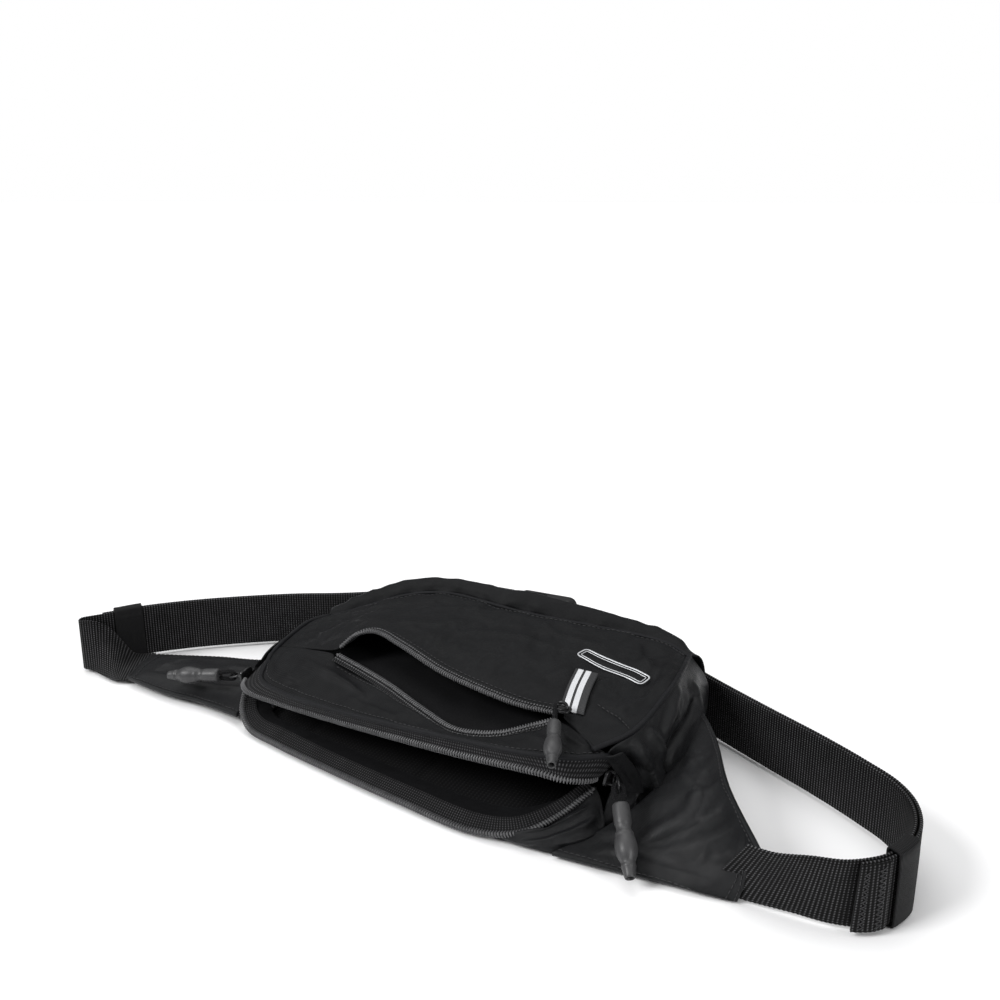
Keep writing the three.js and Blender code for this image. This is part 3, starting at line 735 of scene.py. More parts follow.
def front_panel_grid():
    """The main panel from the pocket's zip to the far seam, with its folds and gathers."""
    grid = loft_to_zip([UPPER_SEAM, FRONT_MIDDLE, FRONT_FAR, FAR_SEAM], 122, 52, POCKET_TAPE, 0.4, True,
                       UPPER_SEAM, start=0.4, end=0.4)
    grid = rumple(grid, 3.2, 52, 3, (0.6, 1.3, 1), 10, 0.35)
    grid = rumple(grid, 1.5, 19, 8, (1.5, 0.7, 1), 8, 0.8)
    grid = rumple(grid, 0.55, 7, 18, (1.2, 0.8, 1), 6, 0.7)
    grid = creased(grid, 0.3, (
        ([(129, 34, 64), (124, 8, 62.5), (117, -14, 60.5), (105, -25, 59.5)], 2.6, 4.0, -0.7, 0.6),
        ([(98, -22, 59.5), (108, -26, 59), (117, -31, 58.5), (124, -38, 57.5)], -1.6, 1.5, 0, 0),
        ([(-24, -4, 67), (-8, 20, 68), (28, 30, 66.6), (62, 24, 65.6)], 1.3, 4.5, 0.6, 0.4),
        ([(-130, 10, 50), (-120, 15, 55), (-104, 16, 59), (-92, 18, 61)], 2.2, 2.4, 0.8, 0.6),
        ([(-129, 20, 51), (-116, 26, 56), (-98, 30, 61)], 1.9, 2.4, -0.8, 0.6),
        ([(-128, 0, 50), (-114, 2, 54), (-98, -4, 58)], 1.4, 2.6, -0.8, 0.5),
        ([(-104, 2, 57), (-84, 22, 64), (-62, 34, 69)], 1.5, 3.6, 0.7, 0.5),
        ([(-100, 30, 60), (-80, 42, 65), (-58, 46, 69)], 1.4, 3.2, -0.7, 0.5),
        ([(-66, 8, 69), (-34, 18, 69), (-4, 40, 68)], 1.0, 5.0, -0.6, 0.4),
        ([(-50, 40, 69), (-20, 54, 68), (16, 60, 68)], 0.9, 4.0, 0.6, 0.4),
        ([(48, -22, 61), (66, 2, 64), (70, 34, 66)], 1.0, 5.0, 0.6, 0.4),
        ([(116, 0, 62), (122, 14, 63), (120, 40, 64)], 1.6, 3.0, 0.8, 0.5),
        ([(96, 60, 64), (104, 40, 65), (120, 22, 64)], 1.5, 3.6, 0.7, 0.5),
        ([(104, 36, 64.5), (112, 44, 64), (120, 46, 63.5)], 1.3, 1.8, 0.8, 0.7),
        ([(20, 62, 68), (46, 44, 67), (86, 40, 66)], 1.1, 4.4, -0.6, 0.4),
    ))
    return sunk(pucker(grid, -1, 1.9, 10, 9, 2), -1, 1.8, 3.2)


def pocket_panel_grid():
    """The strip between the main zip and the pocket's."""
    grid = loft_to_zip([NEAR_SEAM, LOWER_SEAM], 118, 18, 0.9, POCKET_TAPE, False, LOWER_SEAM,
                       start=0.4, end=0.4, keep=1.0)
    grid = rumple(grid, 1.9, 26, 5, (0.7, 1.4, 1), 5, 0.5)
    grid = rumple(grid, 0.8, 10, 15, (0.8, 1.3, 1), 4, 0.7)
    grid = creased(grid, 0.3, (
        ([(-112, -26, 51), (-88, -34, 50), (-62, -40, 48), (-34, -52, 46)], 3.0, 3.2, 0.8, 0.7),
        ([(-126, -30, 45), (-106, -42, 44), (-84, -48, 44)], 1.6, 2.8, -0.7, 0.5),
        ([(-60, -50, 45), (-34, -56, 45), (-8, -62, 45)], 1.2, 2.6, 0.7, 0.5),
        ([(-20, -48, 47), (6, -58, 46), (34, -66, 46)], 1.5, 2.8, 0.6, 0.4),
        ([(66, -56, 51), (84, -62, 52), (100, -66, 53)], 1.8, 3.0, 0.7, 0.5),
        ([(84, -50, 54), (98, -58, 54), (112, -62, 51)], 1.4, 2.4, -0.7, 0.5),
    ))
    return pucker(grid, 0, 0.9, 7, 6, 9)


def make_front():
    """The cloth, its rows of stitches, and the piping and welts in its seams."""
    panel, pocket = front_panel_grid(), pocket_panel_grid()
    for name, grid in (("front_panel", panel), ("pocket_panel", pocket)):
        hand_over(sewn_cloth(name + "_cloth", grid, 1.5), shell, "shell_fabric", name, body="front")

    seams = []
    for line, up in (row_line(panel, row=1, rise=0.15), row_line(pocket, row=-2, rise=0.15)):
        by_pocket = (line[:, 0] > -76) & (line[:, 0] < 80)
        seams += stitches(line[by_pocket], up[by_pocket])
    seams += stitches(*row_line(pocket, row=2, rise=0.1))
    seams += stitches(*row_line(panel, row=-3, rise=0.1))
    seams += stitches(*track(panel, CORNER_ROW, rise=0.15))
    hand_over(joined("front_stitching", seams), thread, "shell_fabric", body="front")

    for name, path, radius, nodes in (
        ("near_piping", NEAR_SEAM, PIPING / 2, ["front_piping"]),
        ("right_side_seam", RIGHT_SIDE_SEAM, 1.5, []),
        ("left_side_seam", LEFT_SIDE_SEAM, 1.5, []),
        ("far_seam_welt", [(x, y, z - 1.2) for x, y, z in FAR_SEAM], 1.3, []),
    ):
        swell = np.array([1 + 0.16 * noise.noise(Vector((k / 4.5, radius, 0))) for k in range(SEAM_STEPS)])
        cord = swept(spaced(path, SEAM_STEPS), ring(radius, 10), scale=swell)
        hand_over(joined(name, [cord]), piping_cloth, "piping", *nodes, body="front")
    return panel


def make_pocket_lining():
    grid = loft([
        [(-116, -34, 37), (-60, -50, 37), (-5, -58, 38), (60, -64, 41), (96, -54, 45)],
        [(-116, -8, 42), (-60, -24, 45), (0, -38, 41), (60, -42, 44), (104, -30, 50)],
        [(-112, 20, 46), (-60, 24, 54), (0, 20, 52), (60, 20, 52), (112, 10, 54)],
        [(-96, 48, 50), (-60, 60, 60), (0, 60, 59), (60, 62, 57), (112, 60, 55)],
    ], 60, 36)
    grid = rumple(grid, 2.2, 30, 6, (1, 1, 1), 6, 0.5)
    hand_over(sewn_cloth("pocket_bag_lining", grid, 1.2), inside, "lining", "pocket_lining", body="front")


# ---- zips: woven tape, a filler cord and a wound coil of teeth ----
def coil_parts(path, radius, pitch, towards):
    """Teeth wound round the line: flattened loops that lean along it, their tips proud of the tape."""
    line = spaced(path, int(length_of(path) * 2))
    run = travelled(line)
    along, across, up = rails(line, towards)
    parts = [swept(line[::3], ring(radius * 0.55, 6), up[::3])]
    turns = np.linspace(0, 2 * math.pi, 9, endpoint=False)
    places = np.arange(pitch, run[-1] - pitch, pitch)
    spots = [picked(source, run, places) for source in (line, along, across, up)]
    for at, fore, side, rise in zip(*spots):
        loop = np.array([
            at + side * radius * 0.78 * math.sin(t) + rise * radius * (math.cos(t) + 0.12)
            + fore * pitch * 0.22 * math.sin(t) for t in turns
        ])
        parts.append(swept(loop, ring(pitch * 0.3, 4), np.broadcast_to(fore, loop.shape), loop=True))
    return parts


TAPE_EDGE = [*LEFT_CORNER[1:], *MAIN_LIP[3:7], *RIGHT_CORNER]
MAIN_COIL, POCKET_COIL = (1.75, 1.7), (1.3, 1.6)  # radius and pitch


def make_main_zip():
    """The upper side rides on the front; the lower side is baked where it lies."""
    tape = loft([NEAR_SEAM, TAPE_EDGE], 120, 10, first=0.8, start=1.5, end=1)
    tape = crease(tape, [(-100, -55, 33), (-60, -63, 35), (-5, -70.5, 40), (40, -76, 44)], 0.5, 2.5)
    hand_over(sewn_cloth("upper_zip_tape", tape, 0.9), tape_weave, "zip_tape", "main_zip_upper_tape",
              body="front")
    hand_over(joined("upper_zip_coil", coil_parts(MAIN_LIP, *MAIN_COIL, (0, -0.25, -1))), coil_plastic,
              "zip_coil", "main_zip_upper_coil", body="front")
    sewing = []
    for row, length, gap, thick in ((1, 1.8, 0.9, 0.22), (5, 0.7, 1.3, 0.38), (8, 0.7, 1.3, 0.42)):
        sewing += stitches(*row_line(tape, row=row, rise=0.25), length, gap, thick)
    hand_over(joined("upper_zip_sewing", sewing), zip_thread, "zip_tape", body="front")

    tape = raised(loft([LOWER_LIP, LOWER_EDGE], 120, 9, start=1, end=1), 0.5)
    hand_over(sewn_cloth("lower_zip_tape", tape, 0.9), tape_weave, "zip_tape", "main_zip_lower_tape",
              blend=LIP_BLEND)
    hand_over(joined("lower_zip_coil", coil_parts(LOWER_LIP, *MAIN_COIL, (0, -1, 0.15))), coil_plastic,
              "zip_coil", "main_zip_lower_coil", blend=LIP_BLEND)


def make_pocket_zip():
    for name, path, reach, drop, up, rows in (
        ("upper", POCKET_UPPER, 5.6, 0.7, (0, -1, 0.1), (1, 3)),
        ("lower", POCKET_LOWER, -5.6, -1.4, (0, 1, 0.25), (-2, -4)),
    ):
        edge = [(x, y + reach, z + drop) for x, y, z in path]
        tape = loft([path, edge] if name == "upper" else [edge, path], 90, 6)
        hand_over(sewn_cloth(name + "_pocket_tape", tape, 0.8, lift=-0.3), tape_weave, "zip_tape",
                  f"pocket_zip_{name}_tape", body="front")
        sewing = [part for row in rows
                  for part in stitches(*row_line(tape, row=row, rise=0.3), 0.6, 1.3, 0.45)]
        hand_over(joined(name + "_pocket_sewing", sewing), zip_thread, "zip_tape", body="front")
        hand_over(joined(name + "_pocket_coil", coil_parts(path, *POCKET_COIL, up)), coil_plastic,
                  "zip_coil", f"pocket_zip_{name}_coil", body="front")


# ---- gussets ----
def make_bottom_gusset():
    grid = loft([FAR_SEAM, ROLL, BASE_BULGE, BASE_FAR], 150, 46, first=0.4, last=0.5)
    grid = rumple(grid, 1.5, 30, 11, (1.4, 0.6, 0.7), 4, 0.6)
    for x, y, size, lean in (
        (-118, 48, 1.3, 0.8), (-104, 58, 0.9, -0.8), (-83, 66, 1.5, 0.8), (-62, 74, 0.8, -0.7),
        (-38, 77, 1.2, 0.8), (-4, 77, 1.4, -0.7), (17, 77, 0.8, 0.7), (44, 78, 1.2, 0.8), (70, 79, 0.7, -0.7),
        (98, 80, 1.0, 0.7),
    ):
        near = np.array([(x, y - 4, 64), (x - 2, y + 6, 62), (x - 5, y + 12, 48), (x - 4, y + 14, 30)], float)
        flat = grid.reshape(-1, 3)
        path = flat[np.linalg.norm(near[:, None] - flat[None], axis=2).argmin(1)]
        grid = crease(grid, path, size, 2.8, lean, 0.3, 0.6)
    grid = pucker(grid, 0, 1.5, 11, 8, 4)
    grid = sunk(pucker(grid, -1, 1.2, 12, 10, 7), 0, 1.8, 3.0)
    hand_over(sewn_cloth("bottom_gusset_cloth", grid, 1.5, lift=1.2), shell, "shell_fabric", "bottom_gusset",
              body="front")
    rows = stitches(*row_line(raised(grid, 1.3), row=-4, rise=0.1))
    hand_over(joined("bottom_gusset_stitching", rows), thread, "shell_fabric", body="front")


def make_side_gussets():
    """Both run from the back panel below to the front above, and are baked where they lie."""
    right = loft([
        [(114, -64, 5), (133, -37, 3), (140, 0, 3), (139, 26, 3), (134, 54, 4)],
        [(117, -57, 20), (135, -39, 20), (143, -10, 20), (144, 20, 20), (138, 61, 24)],
        [(118, -48, 33), (134, -38, 38), (142, -18, 40), (145, 8, 42), (138, 64, 44)],
        [(114, -56, 46), (118, -54, 53), (126, -39, 56.5), (131, 0, 61), (131.5, 20, 62.8), (127.5, 61, 61)],
    ], 84, 56)
    right = creased(right, 0.22, (
        ([(142, 42, 50), (144.5, 9, 47), (143, -16, 43), (141, -25, 36), (142, -25, 28), (143, -19, 20)],
         -5.0, 3.4, 0.5, 0),
        ([(144, 30, 38), (145, 8, 34), (144, -8, 28), (143, -18, 22)], 4.4, 4.6, 0.4, 0.4),
        ([(124, -44, 54), (131, -41, 44), (135.5, -39, 34), (138, -36, 24), (139, -31, 14)],
         4.4, 3.4, -0.4, 0.8),
        ([(128, -42, 40), (131, -43, 30), (130, -45, 20), (126, -50, 12)], 3.6, 3.0, 0.4, 0.8),
        ([(120, -54, 16), (130, -44, 14), (138, -32, 16)], 2.8, 3.0, 0.7, 0.6),
        ([(116, -60, 9), (126, -50, 8), (136, -36, 10)], 2.2, 2.8, -0.7, 0.6),
        ([(133, 20, 60), (137, 0, 55), (139, -20, 49)], 2.4, 3.8, 0.7, 0.5),
        ([(128, -30, 55), (134, -26, 46), (139, -26, 38)], 2.2, 3.0, 0.8, 0.6),
        ([(136, 40, 56), (141, 26, 40), (143, 16, 26)], 2.4, 4.0, -0.7, 0.5),
    ))
    right = rumple(right, 1.3, 26, 14, (1, 1, 0.7), 5, 0.8)
    right = rumple(right, 0.35, 9, 16, (1, 1, 1), 4, 0.6)
    hand_over(sewn_cloth("right_gusset_cloth", right, 1.5, lift=1.5), painted_lit_cloth, "shell_fabric",
              "right_gusset", blend=GUSSET_BLEND)

    left = loft([
        [(-146, -24, 33), (-136.5, -17, 45), (-133.5, 4, 49.5), (-132, 22, 52), (-123, 38, 53.5)],
        [(-147.5, -33, 18.5), (-145, -10, 26), (-144, 10, 28), (-141, 32, 29), (-133, 52, 28)],
        [(-142, -40, 6), (-139, -12, 3), (-139, 10, 3), (-138, 32, 3), (-130, 53, 4)],
    ], 60, 40)
    left = creased(left, 0.25, (
        ([(-137, -8, 44), (-143, 0, 32), (-142, 4, 16)], 1.8, 3.2, 0.7, 0.5),
        ([(-135, 12, 47), (-142, 18, 32), (-141, 20, 14)], 1.8, 3.2, -0.7, 0.5),
        ([(-132, 28, 48), (-140, 34, 30), (-139, 38, 12)], 2.2, 3.0, 0.7, 0.5),
        ([(-147, -20, 26), (-144, 0, 22), (-142, 20, 22)], 1.4, 4.0, 0.5, 0.5),
    ))
    left = rumple(left, 1.6, 15, 21, (1, 1, 0.6), 4, 0.6)
    hand_over(sewn_cloth("left_gusset_cloth", left, 1.5, lift=1.5), shell, "shell_fabric", "left_gusset",
              blend=GUSSET_BLEND)


def make_mouth_edge():
    """The cloth under the lower zip: an inside facing, and the gathered corner below the right slider."""
    facing = [(x, y, z - 0.3) for x, y, z in LOWER_EDGE]
    inner = [(-136, -20, 20), (-130, -28, 12), (-121, -34, 7.5), (-100, -38, 6.6), (-56, -46, 6.6),
             (2, -58, 6.6), (50, -64, 6.6), (70, -62, 8), (88, -54, 14), (101, -47, 24), (106, -45, 30)]
    grid = rumple(loft([facing, inner], 90, 10), 0.8, 12, 31, hold=2)
    hand_over(sewn_cloth("mouth_facing", grid, 0.9), inside, "lining", blend=LIP_BLEND)

    grid = loft([
        [(60, -86.5, 2.6), (80, -88, 2.6), (98, -87, 3), (112, -80, 4), (122, -68, 6)],
        [(62, -88, 4.6), (82, -88.5, 6), (98, -83, 9), (110, -74, 13), (119, -63, 15)],
        [(66, -87.5, 6), (84, -85, 9), (98, -75, 15), (108, -66, 22), (115, -59, 25)],
        [(66, -86, 5.5), (80, -83, 8.5), (97, -69, 16.5), (106.5, -60.5, 25), (111, -57, 30)],
    ], 62, 30)
    grid = creased(grid, 0.2, (
        ([(70, -88, 6), (90, -83, 11), (104, -72, 18), (113, -62, 24)], 2.4, 2.2, 0.8, 0.6),
        ([(78, -88.5, 4.5), (96, -84, 9), (109, -74, 14), (117, -64, 18)], 2.2, 2.4, 0.8, 0.6),
        ([(96, -86, 6), (110, -78, 8), (119, -68, 10)], 2.0, 2.6, -0.7, 0.6),
    ))
    grid = rumple(grid, 0.9, 9, 33, hold=2)
    hand_over(sewn_cloth("mouth_corner_cloth", grid, 1.3), painted_lit_cloth, "shell_fabric", blend=CORNER_BLEND)


# ---- hip wings ----
WING_WALL, WING_LIFT = 3.2, 3.4


def make_right_wing():
    grid = loft([
        [(99, -88.5, 1.5), (124, -87.5, 1.5), (158, -85, 1.5), (196, -79, 1.5)],
        [(116, -71, 7), (142, -69, 10), (172, -72, 12), (200, -80, 13)],
        [(139, -37, 22), (158, -41, 26), (178, -54, 27), (203, -81, 24)],
        [(147, 30, 40), (162, 2, 41), (181, -42, 39), (207, -83, 34)],
    ], 108, 74)
    grid = creased(grid, 0.25, (
        ([(146, -18, 26), (156, -34, 31), (163, -43, 31), (162, -53, 25), (152, -62, 17), (138, -71, 9)],
         1.7, 4.6, 0.4, 0.35),
        ([(174, -36, 39), (167, -42, 33), (158, -47, 28)], 0.9, 3.6, -0.4, 0.3),
        ([(184, -50, 39), (175, -54, 31), (166, -57, 25), (154, -64, 18), (140, -73, 10)],
         1.5, 3.8, 0.4, 0.35),
        ([(192, -64, 36), (180, -66, 26), (164, -70, 17), (146, -77, 8)], 1.0, 4.0, 0.4, 0.3),
        ([(149, -12, 32), (156, -22, 35), (164, -30, 38)], 1.1, 3.2, 0.4, 0.3),
        ([(118, -82, 4), (134, -77, 7), (152, -76, 8), (176, -76, 10)], 1.4, 4.0, -0.4, 0.3),
        ([(198, -79, 27), (188, -74, 22), (176, -74, 15)], 1.4, 6.0, 0.4, 0.3),
    ))
    grid = rumple(grid, 1.9, 38, 41, (0.8, 1.2, 1), 8, 0.8)
    grid = rumple(grid, 0.28, 9, 44, (1, 1, 1), 6, 0.5)
    hand_over(sewn_cloth("right_wing_cloth", grid, WING_WALL, lift=WING_LIFT), painted_lit_cloth, "shell_fabric",
              "right_wing", blend=WING_BLEND)
    top = raised(grid, WING_LIFT + 0.2)
    rows = stitches(*row_line(top, column=-3)) + stitches(*row_line(top, column=-7))
    hand_over(joined("right_wing_end_stitching", rows), thread, "shell_fabric", body="bag")
    rows = stitches(*row_line(top, row=2)) + stitches(*row_line(top, row=-3))
    hand_over(joined("right_wing_edge_stitching", rows), thread, "shell_fabric", blend=WING_BLEND)


def make_left_wing():
    grid = loft([
        [(-143, 31, 13), (-180, 23, 9), (-216, 19, 6), (-264, 2, 5.5)],
        [(-146, -6, 15), (-184, -8, 11), (-220, -8, 9), (-260, -14, 6)],
        [(-146, -44, 4.5), (-185, -39, 4.5), (-215, -39, 4.5), (-254, -33, 4.5)],
    ], 92, 48)
    grid = creased(grid, 0.25, (
        ([(-150, -20, 13), (-180, -24, 9.5), (-214, -24, 8), (-250, -24, 6)], 1.6, 4.0, -0.7, 0.4),
        ([(-152, 8, 15), (-172, 2, 12), (-196, 2, 10)], 1.4, 4.5, 0.6, 0.4),
        ([(-150, -8, 15), (-166, -12, 13), (-184, -20, 10)], 1.5, 3.5, -0.6, 0.4),
        ([(-226, 12, 7), (-236, -6, 8), (-240, -26, 5)], 0.9, 4.0, 0.5, 0.3),
    ))
    grid = rumple(grid, 1.3, 22, 52, (0.9, 1.2, 1), 6, 0.5)
    hand_over(sewn_cloth("left_wing_cloth", grid, WING_WALL, lift=WING_LIFT), painted_lit_cloth, "shell_fabric",
              "left_wing", body="bag")
    top = raised(grid, WING_LIFT + 0.2)
    rows = []
    for lines in ({"column": -3}, {"column": -7}, {"row": 2}, {"row": -3}):
        rows += stitches(*row_line(top, **lines))
    hand_over(joined("left_wing_stitching", rows), thread, "shell_fabric", body="bag")


# ---- belt webbing, tails and keepers ----
WEB_WIDTH, WEB_THICK, LAYER, RIB = 38.0, 1.6, 2.5, 1.9
RIGHT_ROUTE = [
    (194, -80.4, 18.6), (206, -83, 19.6), (226, -83, 21.5), (243, -81, 21.5), (257, -74, 21.5),
    (267, -59, 21.5), (271, -38, 21.5), (267, -17, 21.5), (257, -1, 21.5), (240, 13, 21.5), (214, 31, 21.5),
    (176, 54, 21.5), (134, 80, 22), (90, 108, 24), (56, 129, 26.4), (34, 140, 26.5), (19.4, 141, 26.5),
]
RIGHT_LEAN = [(0.3 - 0.1 * k, -0.2 + 0.07 * k, 0.93) if k < 3 else (0, 0, 1) for k in (0, *range(16))]
LEFT_ROUTE = [
    (-256, -11, 6.6), (-270, -17, 6), (-281, -23, 17), (-292, -27, 21.5), (-300, -28.5, 21.5),
    (-303, -24, 21.5), (-298, -16, 21.5), (-289, -4, 21.5), (-278, 12, 21.5), (-253, 37, 21.5),
    (-220, 63, 21.5), (-190, 83, 21.5), (-156, 100, 22), (-112, 124, 24), (-84, 137, 26.4), (-66, 141, 26.5),
    (-51.4, 141, 26.5),
]
LEFT_LEAN = [(-0.42, 0.90, 0.05), (-0.46, 0.88, 0.1), (-0.4, 0.55, 0.73), (-0.1, 0.1, 0.99),
             *[(0, 0, 1)] * 13]
# shares of each belt's length: where the free tails begin, and where the keepers sit
RIGHT_TAIL, LEFT_TAIL, TAIL_END = 0.134, 0.20, 0.99
RIGHT_KEEPER, LEFT_KEEPER = (0.176, 0.216), (0.222, 0.276)
KEEPER_ROOM, KEEPER_HEIGHT, KEEPER_WALL, KEEPER_CORNER = 7.8, WEB_WIDTH + 3.0, 1.3, 1.9
HEM_WIDTH, HEM_THICK = 37.4, 1.5


class Belt:
    """A route for webbing, and the way the webbing's width stands along it."""

    def __init__(self, route, lean):
        self.route, self.lean = route, lean
        self.length = length_of(route)

    def at(self, shares):
        """At shares of the length: the line, and the directions along, up the width and out of the face."""
        stops = even(self.route, shares)
        line = spline(self.route, stops)
        back, fore = (spline(self.route, np.clip(stops + step, 0, 1)) for step in (-1e-4, 1e-4))
        ahead = fore - back
        along = ahead / np.linalg.norm(ahead, axis=1, keepdims=True)
        up = spline(self.lean, stops)
        up /= np.linalg.norm(up, axis=1, keepdims=True)
        out = np.cross(along, up)
        return line, along, up, out / np.linalg.norm(out, axis=1, keepdims=True)


def webbing(belt, shift, start, end, slant=0.0, width=WEB_WIDTH, thick=WEB_THICK):
    """A woven strip with real ribs: points, faces and pattern. A slant cuts its first end on the skew."""
    run = (end - start) * belt.length
    count = int(run / RIB * 4)
    shares = np.linspace(start, end, count)
    line, along, up, out = belt.at(shares)
    rise = np.cos(np.linspace(0, run, count) / RIB * 2 * math.pi)
    edge = width / 2
    half = np.array([edge * 0.4, edge * 0.8, edge - 0.5, edge])
    heights = np.concatenate([-half[::-1], [0], half])
    depths = thick / 2 * np.array([0.35, 1, 1, 1, 1, 1, 1, 1, 0.35])
    face = np.column_stack([depths, heights])
    profile = np.vstack([face, face[::-1] * (-1, 1)])
    skew = np.outer(np.exp(-np.arange(count) * run / count / 14), (profile[:, 1] - edge) / width) * slant
    rings = (
        line[:, None] + out[:, None] * (shift + profile[None, :, :1] * (1 + 0.17 * rise[:, None, None]))
        + up[:, None] * (profile[None, :, 1:] * (1 + 0.004 * rise[:, None, None]))
        + along[:, None] * skew[..., None]
    )
    sides = len(profile)
    faces = [f[::-1] for f in grid_faces(count, sides, loop=True)]
    caps = [tuple(range(sides)), tuple((count - 1) * sides + j for j in range(sides - 1, -1, -1))]
    pattern = [(s * MM, h * MM) for s in np.linspace(0, run, count) for h in profile[:, 1] + edge]
    return rings.reshape(-1, 3), faces + caps, pattern


def zigzag(belt, shift, place, width, step, height):
    """A zigzag of thread across a strip's face."""
    rows = np.arange(-height / 2, height / 2, step)
    line, along, up, out = (value[0] for value in belt.at(np.array([place])))
    stops = [line + up * h + along * width * (0.5 if k % 2 else -0.5) + out * shift
             for k, h in enumerate(rows)]
    sag = out * np.array([[-0.15], [0.2], [-0.15]])
    return [swept(np.array([a, a * 0.5 + b * 0.5, b]) + sag, ring(0.3, 5), np.broadcast_to(out, (3, 3)))
            for a, b in zip(stops, stops[1:])]


def sleeve(belt, shift, start, end, room, high):
    """An elastic loop round the layers of the belt."""
    count = 22
    line, _, up, out = belt.at(np.linspace(start, end, count))
    outline = np.array(rounded_strip(high, room, KEEPER_CORNER, 4))
    middle = (line + out * shift)[:, None]
    rings = middle + out[:, None] * outline[None, :, :1] + up[:, None] * outline[None, :, 1:]
    around = travelled(np.vstack([outline, outline[:1]]))[:-1]
    lengths = np.linspace(0, (end - start) * belt.length, count)
    faces = [f[::-1] for f in grid_faces(count, len(outline), loop=True)]
    return rings.reshape(-1, 3), faces, [(a * MM, s * MM) for s in lengths for a in around]


def make_layers(side, belt, slant, shift, tail, **ride):
    """A side's webbing from its wing to the buckle, and the free tail that lies beside it."""
    strip = webbing(belt, 0, 0, 1, slant=slant)
    hand_over(joined(side + "_belt", [strip]), belt_weave, "webbing", side + "_webbing", **ride)
    strip = webbing(belt, shift, tail, TAIL_END)
    hand_over(joined(side + "_belt_tail", [strip]), belt_weave, "webbing", side + "_tail", **ride)


def make_belt():
    """Both sides of the belt, the hem sewn on the right tail's end, and the keepers round the layers."""
    right, left = Belt(RIGHT_ROUTE, RIGHT_LEAN), Belt(LEFT_ROUTE, LEFT_LEAN)
    make_layers("right", right, 11, LAYER, RIGHT_TAIL, body="bag")
    hem = webbing(right, LAYER + 1.75, RIGHT_TAIL - 0.002, RIGHT_TAIL + 0.032, width=HEM_WIDTH,
                  thick=HEM_THICK)
    hand_over(joined("right_tail_hem", [hem]), belt_weave, "webbing", body="bag")
    sewing = zigzag(right, LAYER + 2.7, RIGHT_TAIL + 0.022, 3.2, 1.3, 33)
    sewing += zigzag(right, LAYER + 2.7, RIGHT_TAIL + 0.006, 2.2, 1.5, 33)
    hand_over(joined("right_tail_sewing", sewing), thread, "webbing", body="bag")
    make_layers("left", left, 4, -LAYER, LEFT_TAIL, blend=BELT_BLEND)

    for name, belt, shift, span in (
        ("right_keeper", right, LAYER / 2, RIGHT_KEEPER), ("left_keeper", left, -LAYER / 2, LEFT_KEEPER),
    ):
        piece = joined(name + "_elastic", [sleeve(belt, shift, *span, KEEPER_ROOM, KEEPER_HEIGHT)])
        add_stack(piece, ("SOLIDIFY", {"thickness": KEEPER_WALL * MM, "offset": 0}), subdivided(1))
        hand_over(piece, elastic_weave, "keeper", name, body=name)


# ---- padded back panel ----
PANEL_OUTLINE = [
    (-134, -36), (-131, -46), (-122, -52), (-112, -54), (-70, -61.5), (-30, -69), (10, -77), (48, -84),
    (72, -85), (93, -80), (107, -71), (116, -62), (127, -45), (133.5, -22), (136, 10), (134, 30), (132, 48),
    (126, 64), (116, 72), (102, 74), (50, 74), (0, 74), (-50, 74), (-102, 74), (-118, 71), (-128, 62),
    (-132, 46), (-133.5, 5),
]
PAD, PAD_CENTRE = 6.0, np.array([0, -4, 0.0])
VOXEL, PRESSURE, MOST_SWELL = 3, 1.6, 1.1
# the sewn channels across the pad's inner face: from one to the next, and how deep and wide
CHANNEL_PITCH, CHANNEL_DEPTH, CHANNEL_WIDTH = 90, 1.1, 2.2


def closed_line(knots, count):
    """Points at even distances round the smooth closed line through the knots."""
    line = spaced([*knots[-3:], *knots, *knots[:4]], 1200)
    run = travelled(line)
    gaps = np.linalg.norm(line - np.asarray(knots[0], float), axis=1)
    stops = np.linspace(run[gaps[:400].argmin()], run[800 + gaps[800:].argmin()], count, endpoint=False)
    return picked(line, run, stops)


def puffed(piece, pressure, cap, frames=20):
    """Blows a closed cloth up a little, and lets no point move further than the cap in millimetres."""
    rest = np.array([v.co for v in piece.data.vertices])
    cloth = piece.modifiers.new("stuffing", "CLOTH")
    cloth.settings.use_pressure = True
    cloth.settings.uniform_pressure_force = pressure
    cloth.settings.effector_weights.gravity = 0
    cloth.settings.quality = 5
    cloth.collision_settings.use_collision = False
    cloth.point_cache.frame_start, cloth.point_cache.frame_end = 1, frames
    scene = bpy.context.scene
    scene.frame_start, scene.frame_end = 1, frames
    for step in range(1, frames + 1):
        scene.frame_set(step)
    graph = bpy.context.evaluated_depsgraph_get()
    moved = np.array([v.co for v in piece.evaluated_get(graph).data.vertices])
    piece.modifiers.remove(cloth)
    scene.frame_set(1)
    offset = moved - rest
    size = np.linalg.norm(offset, axis=1, keepdims=True)
    offset *= np.minimum(1, cap * MM / np.maximum(size, 1e-9))
    piece.data.vertices.foreach_set("co", (rest + offset).ravel())
    piece.data.update()


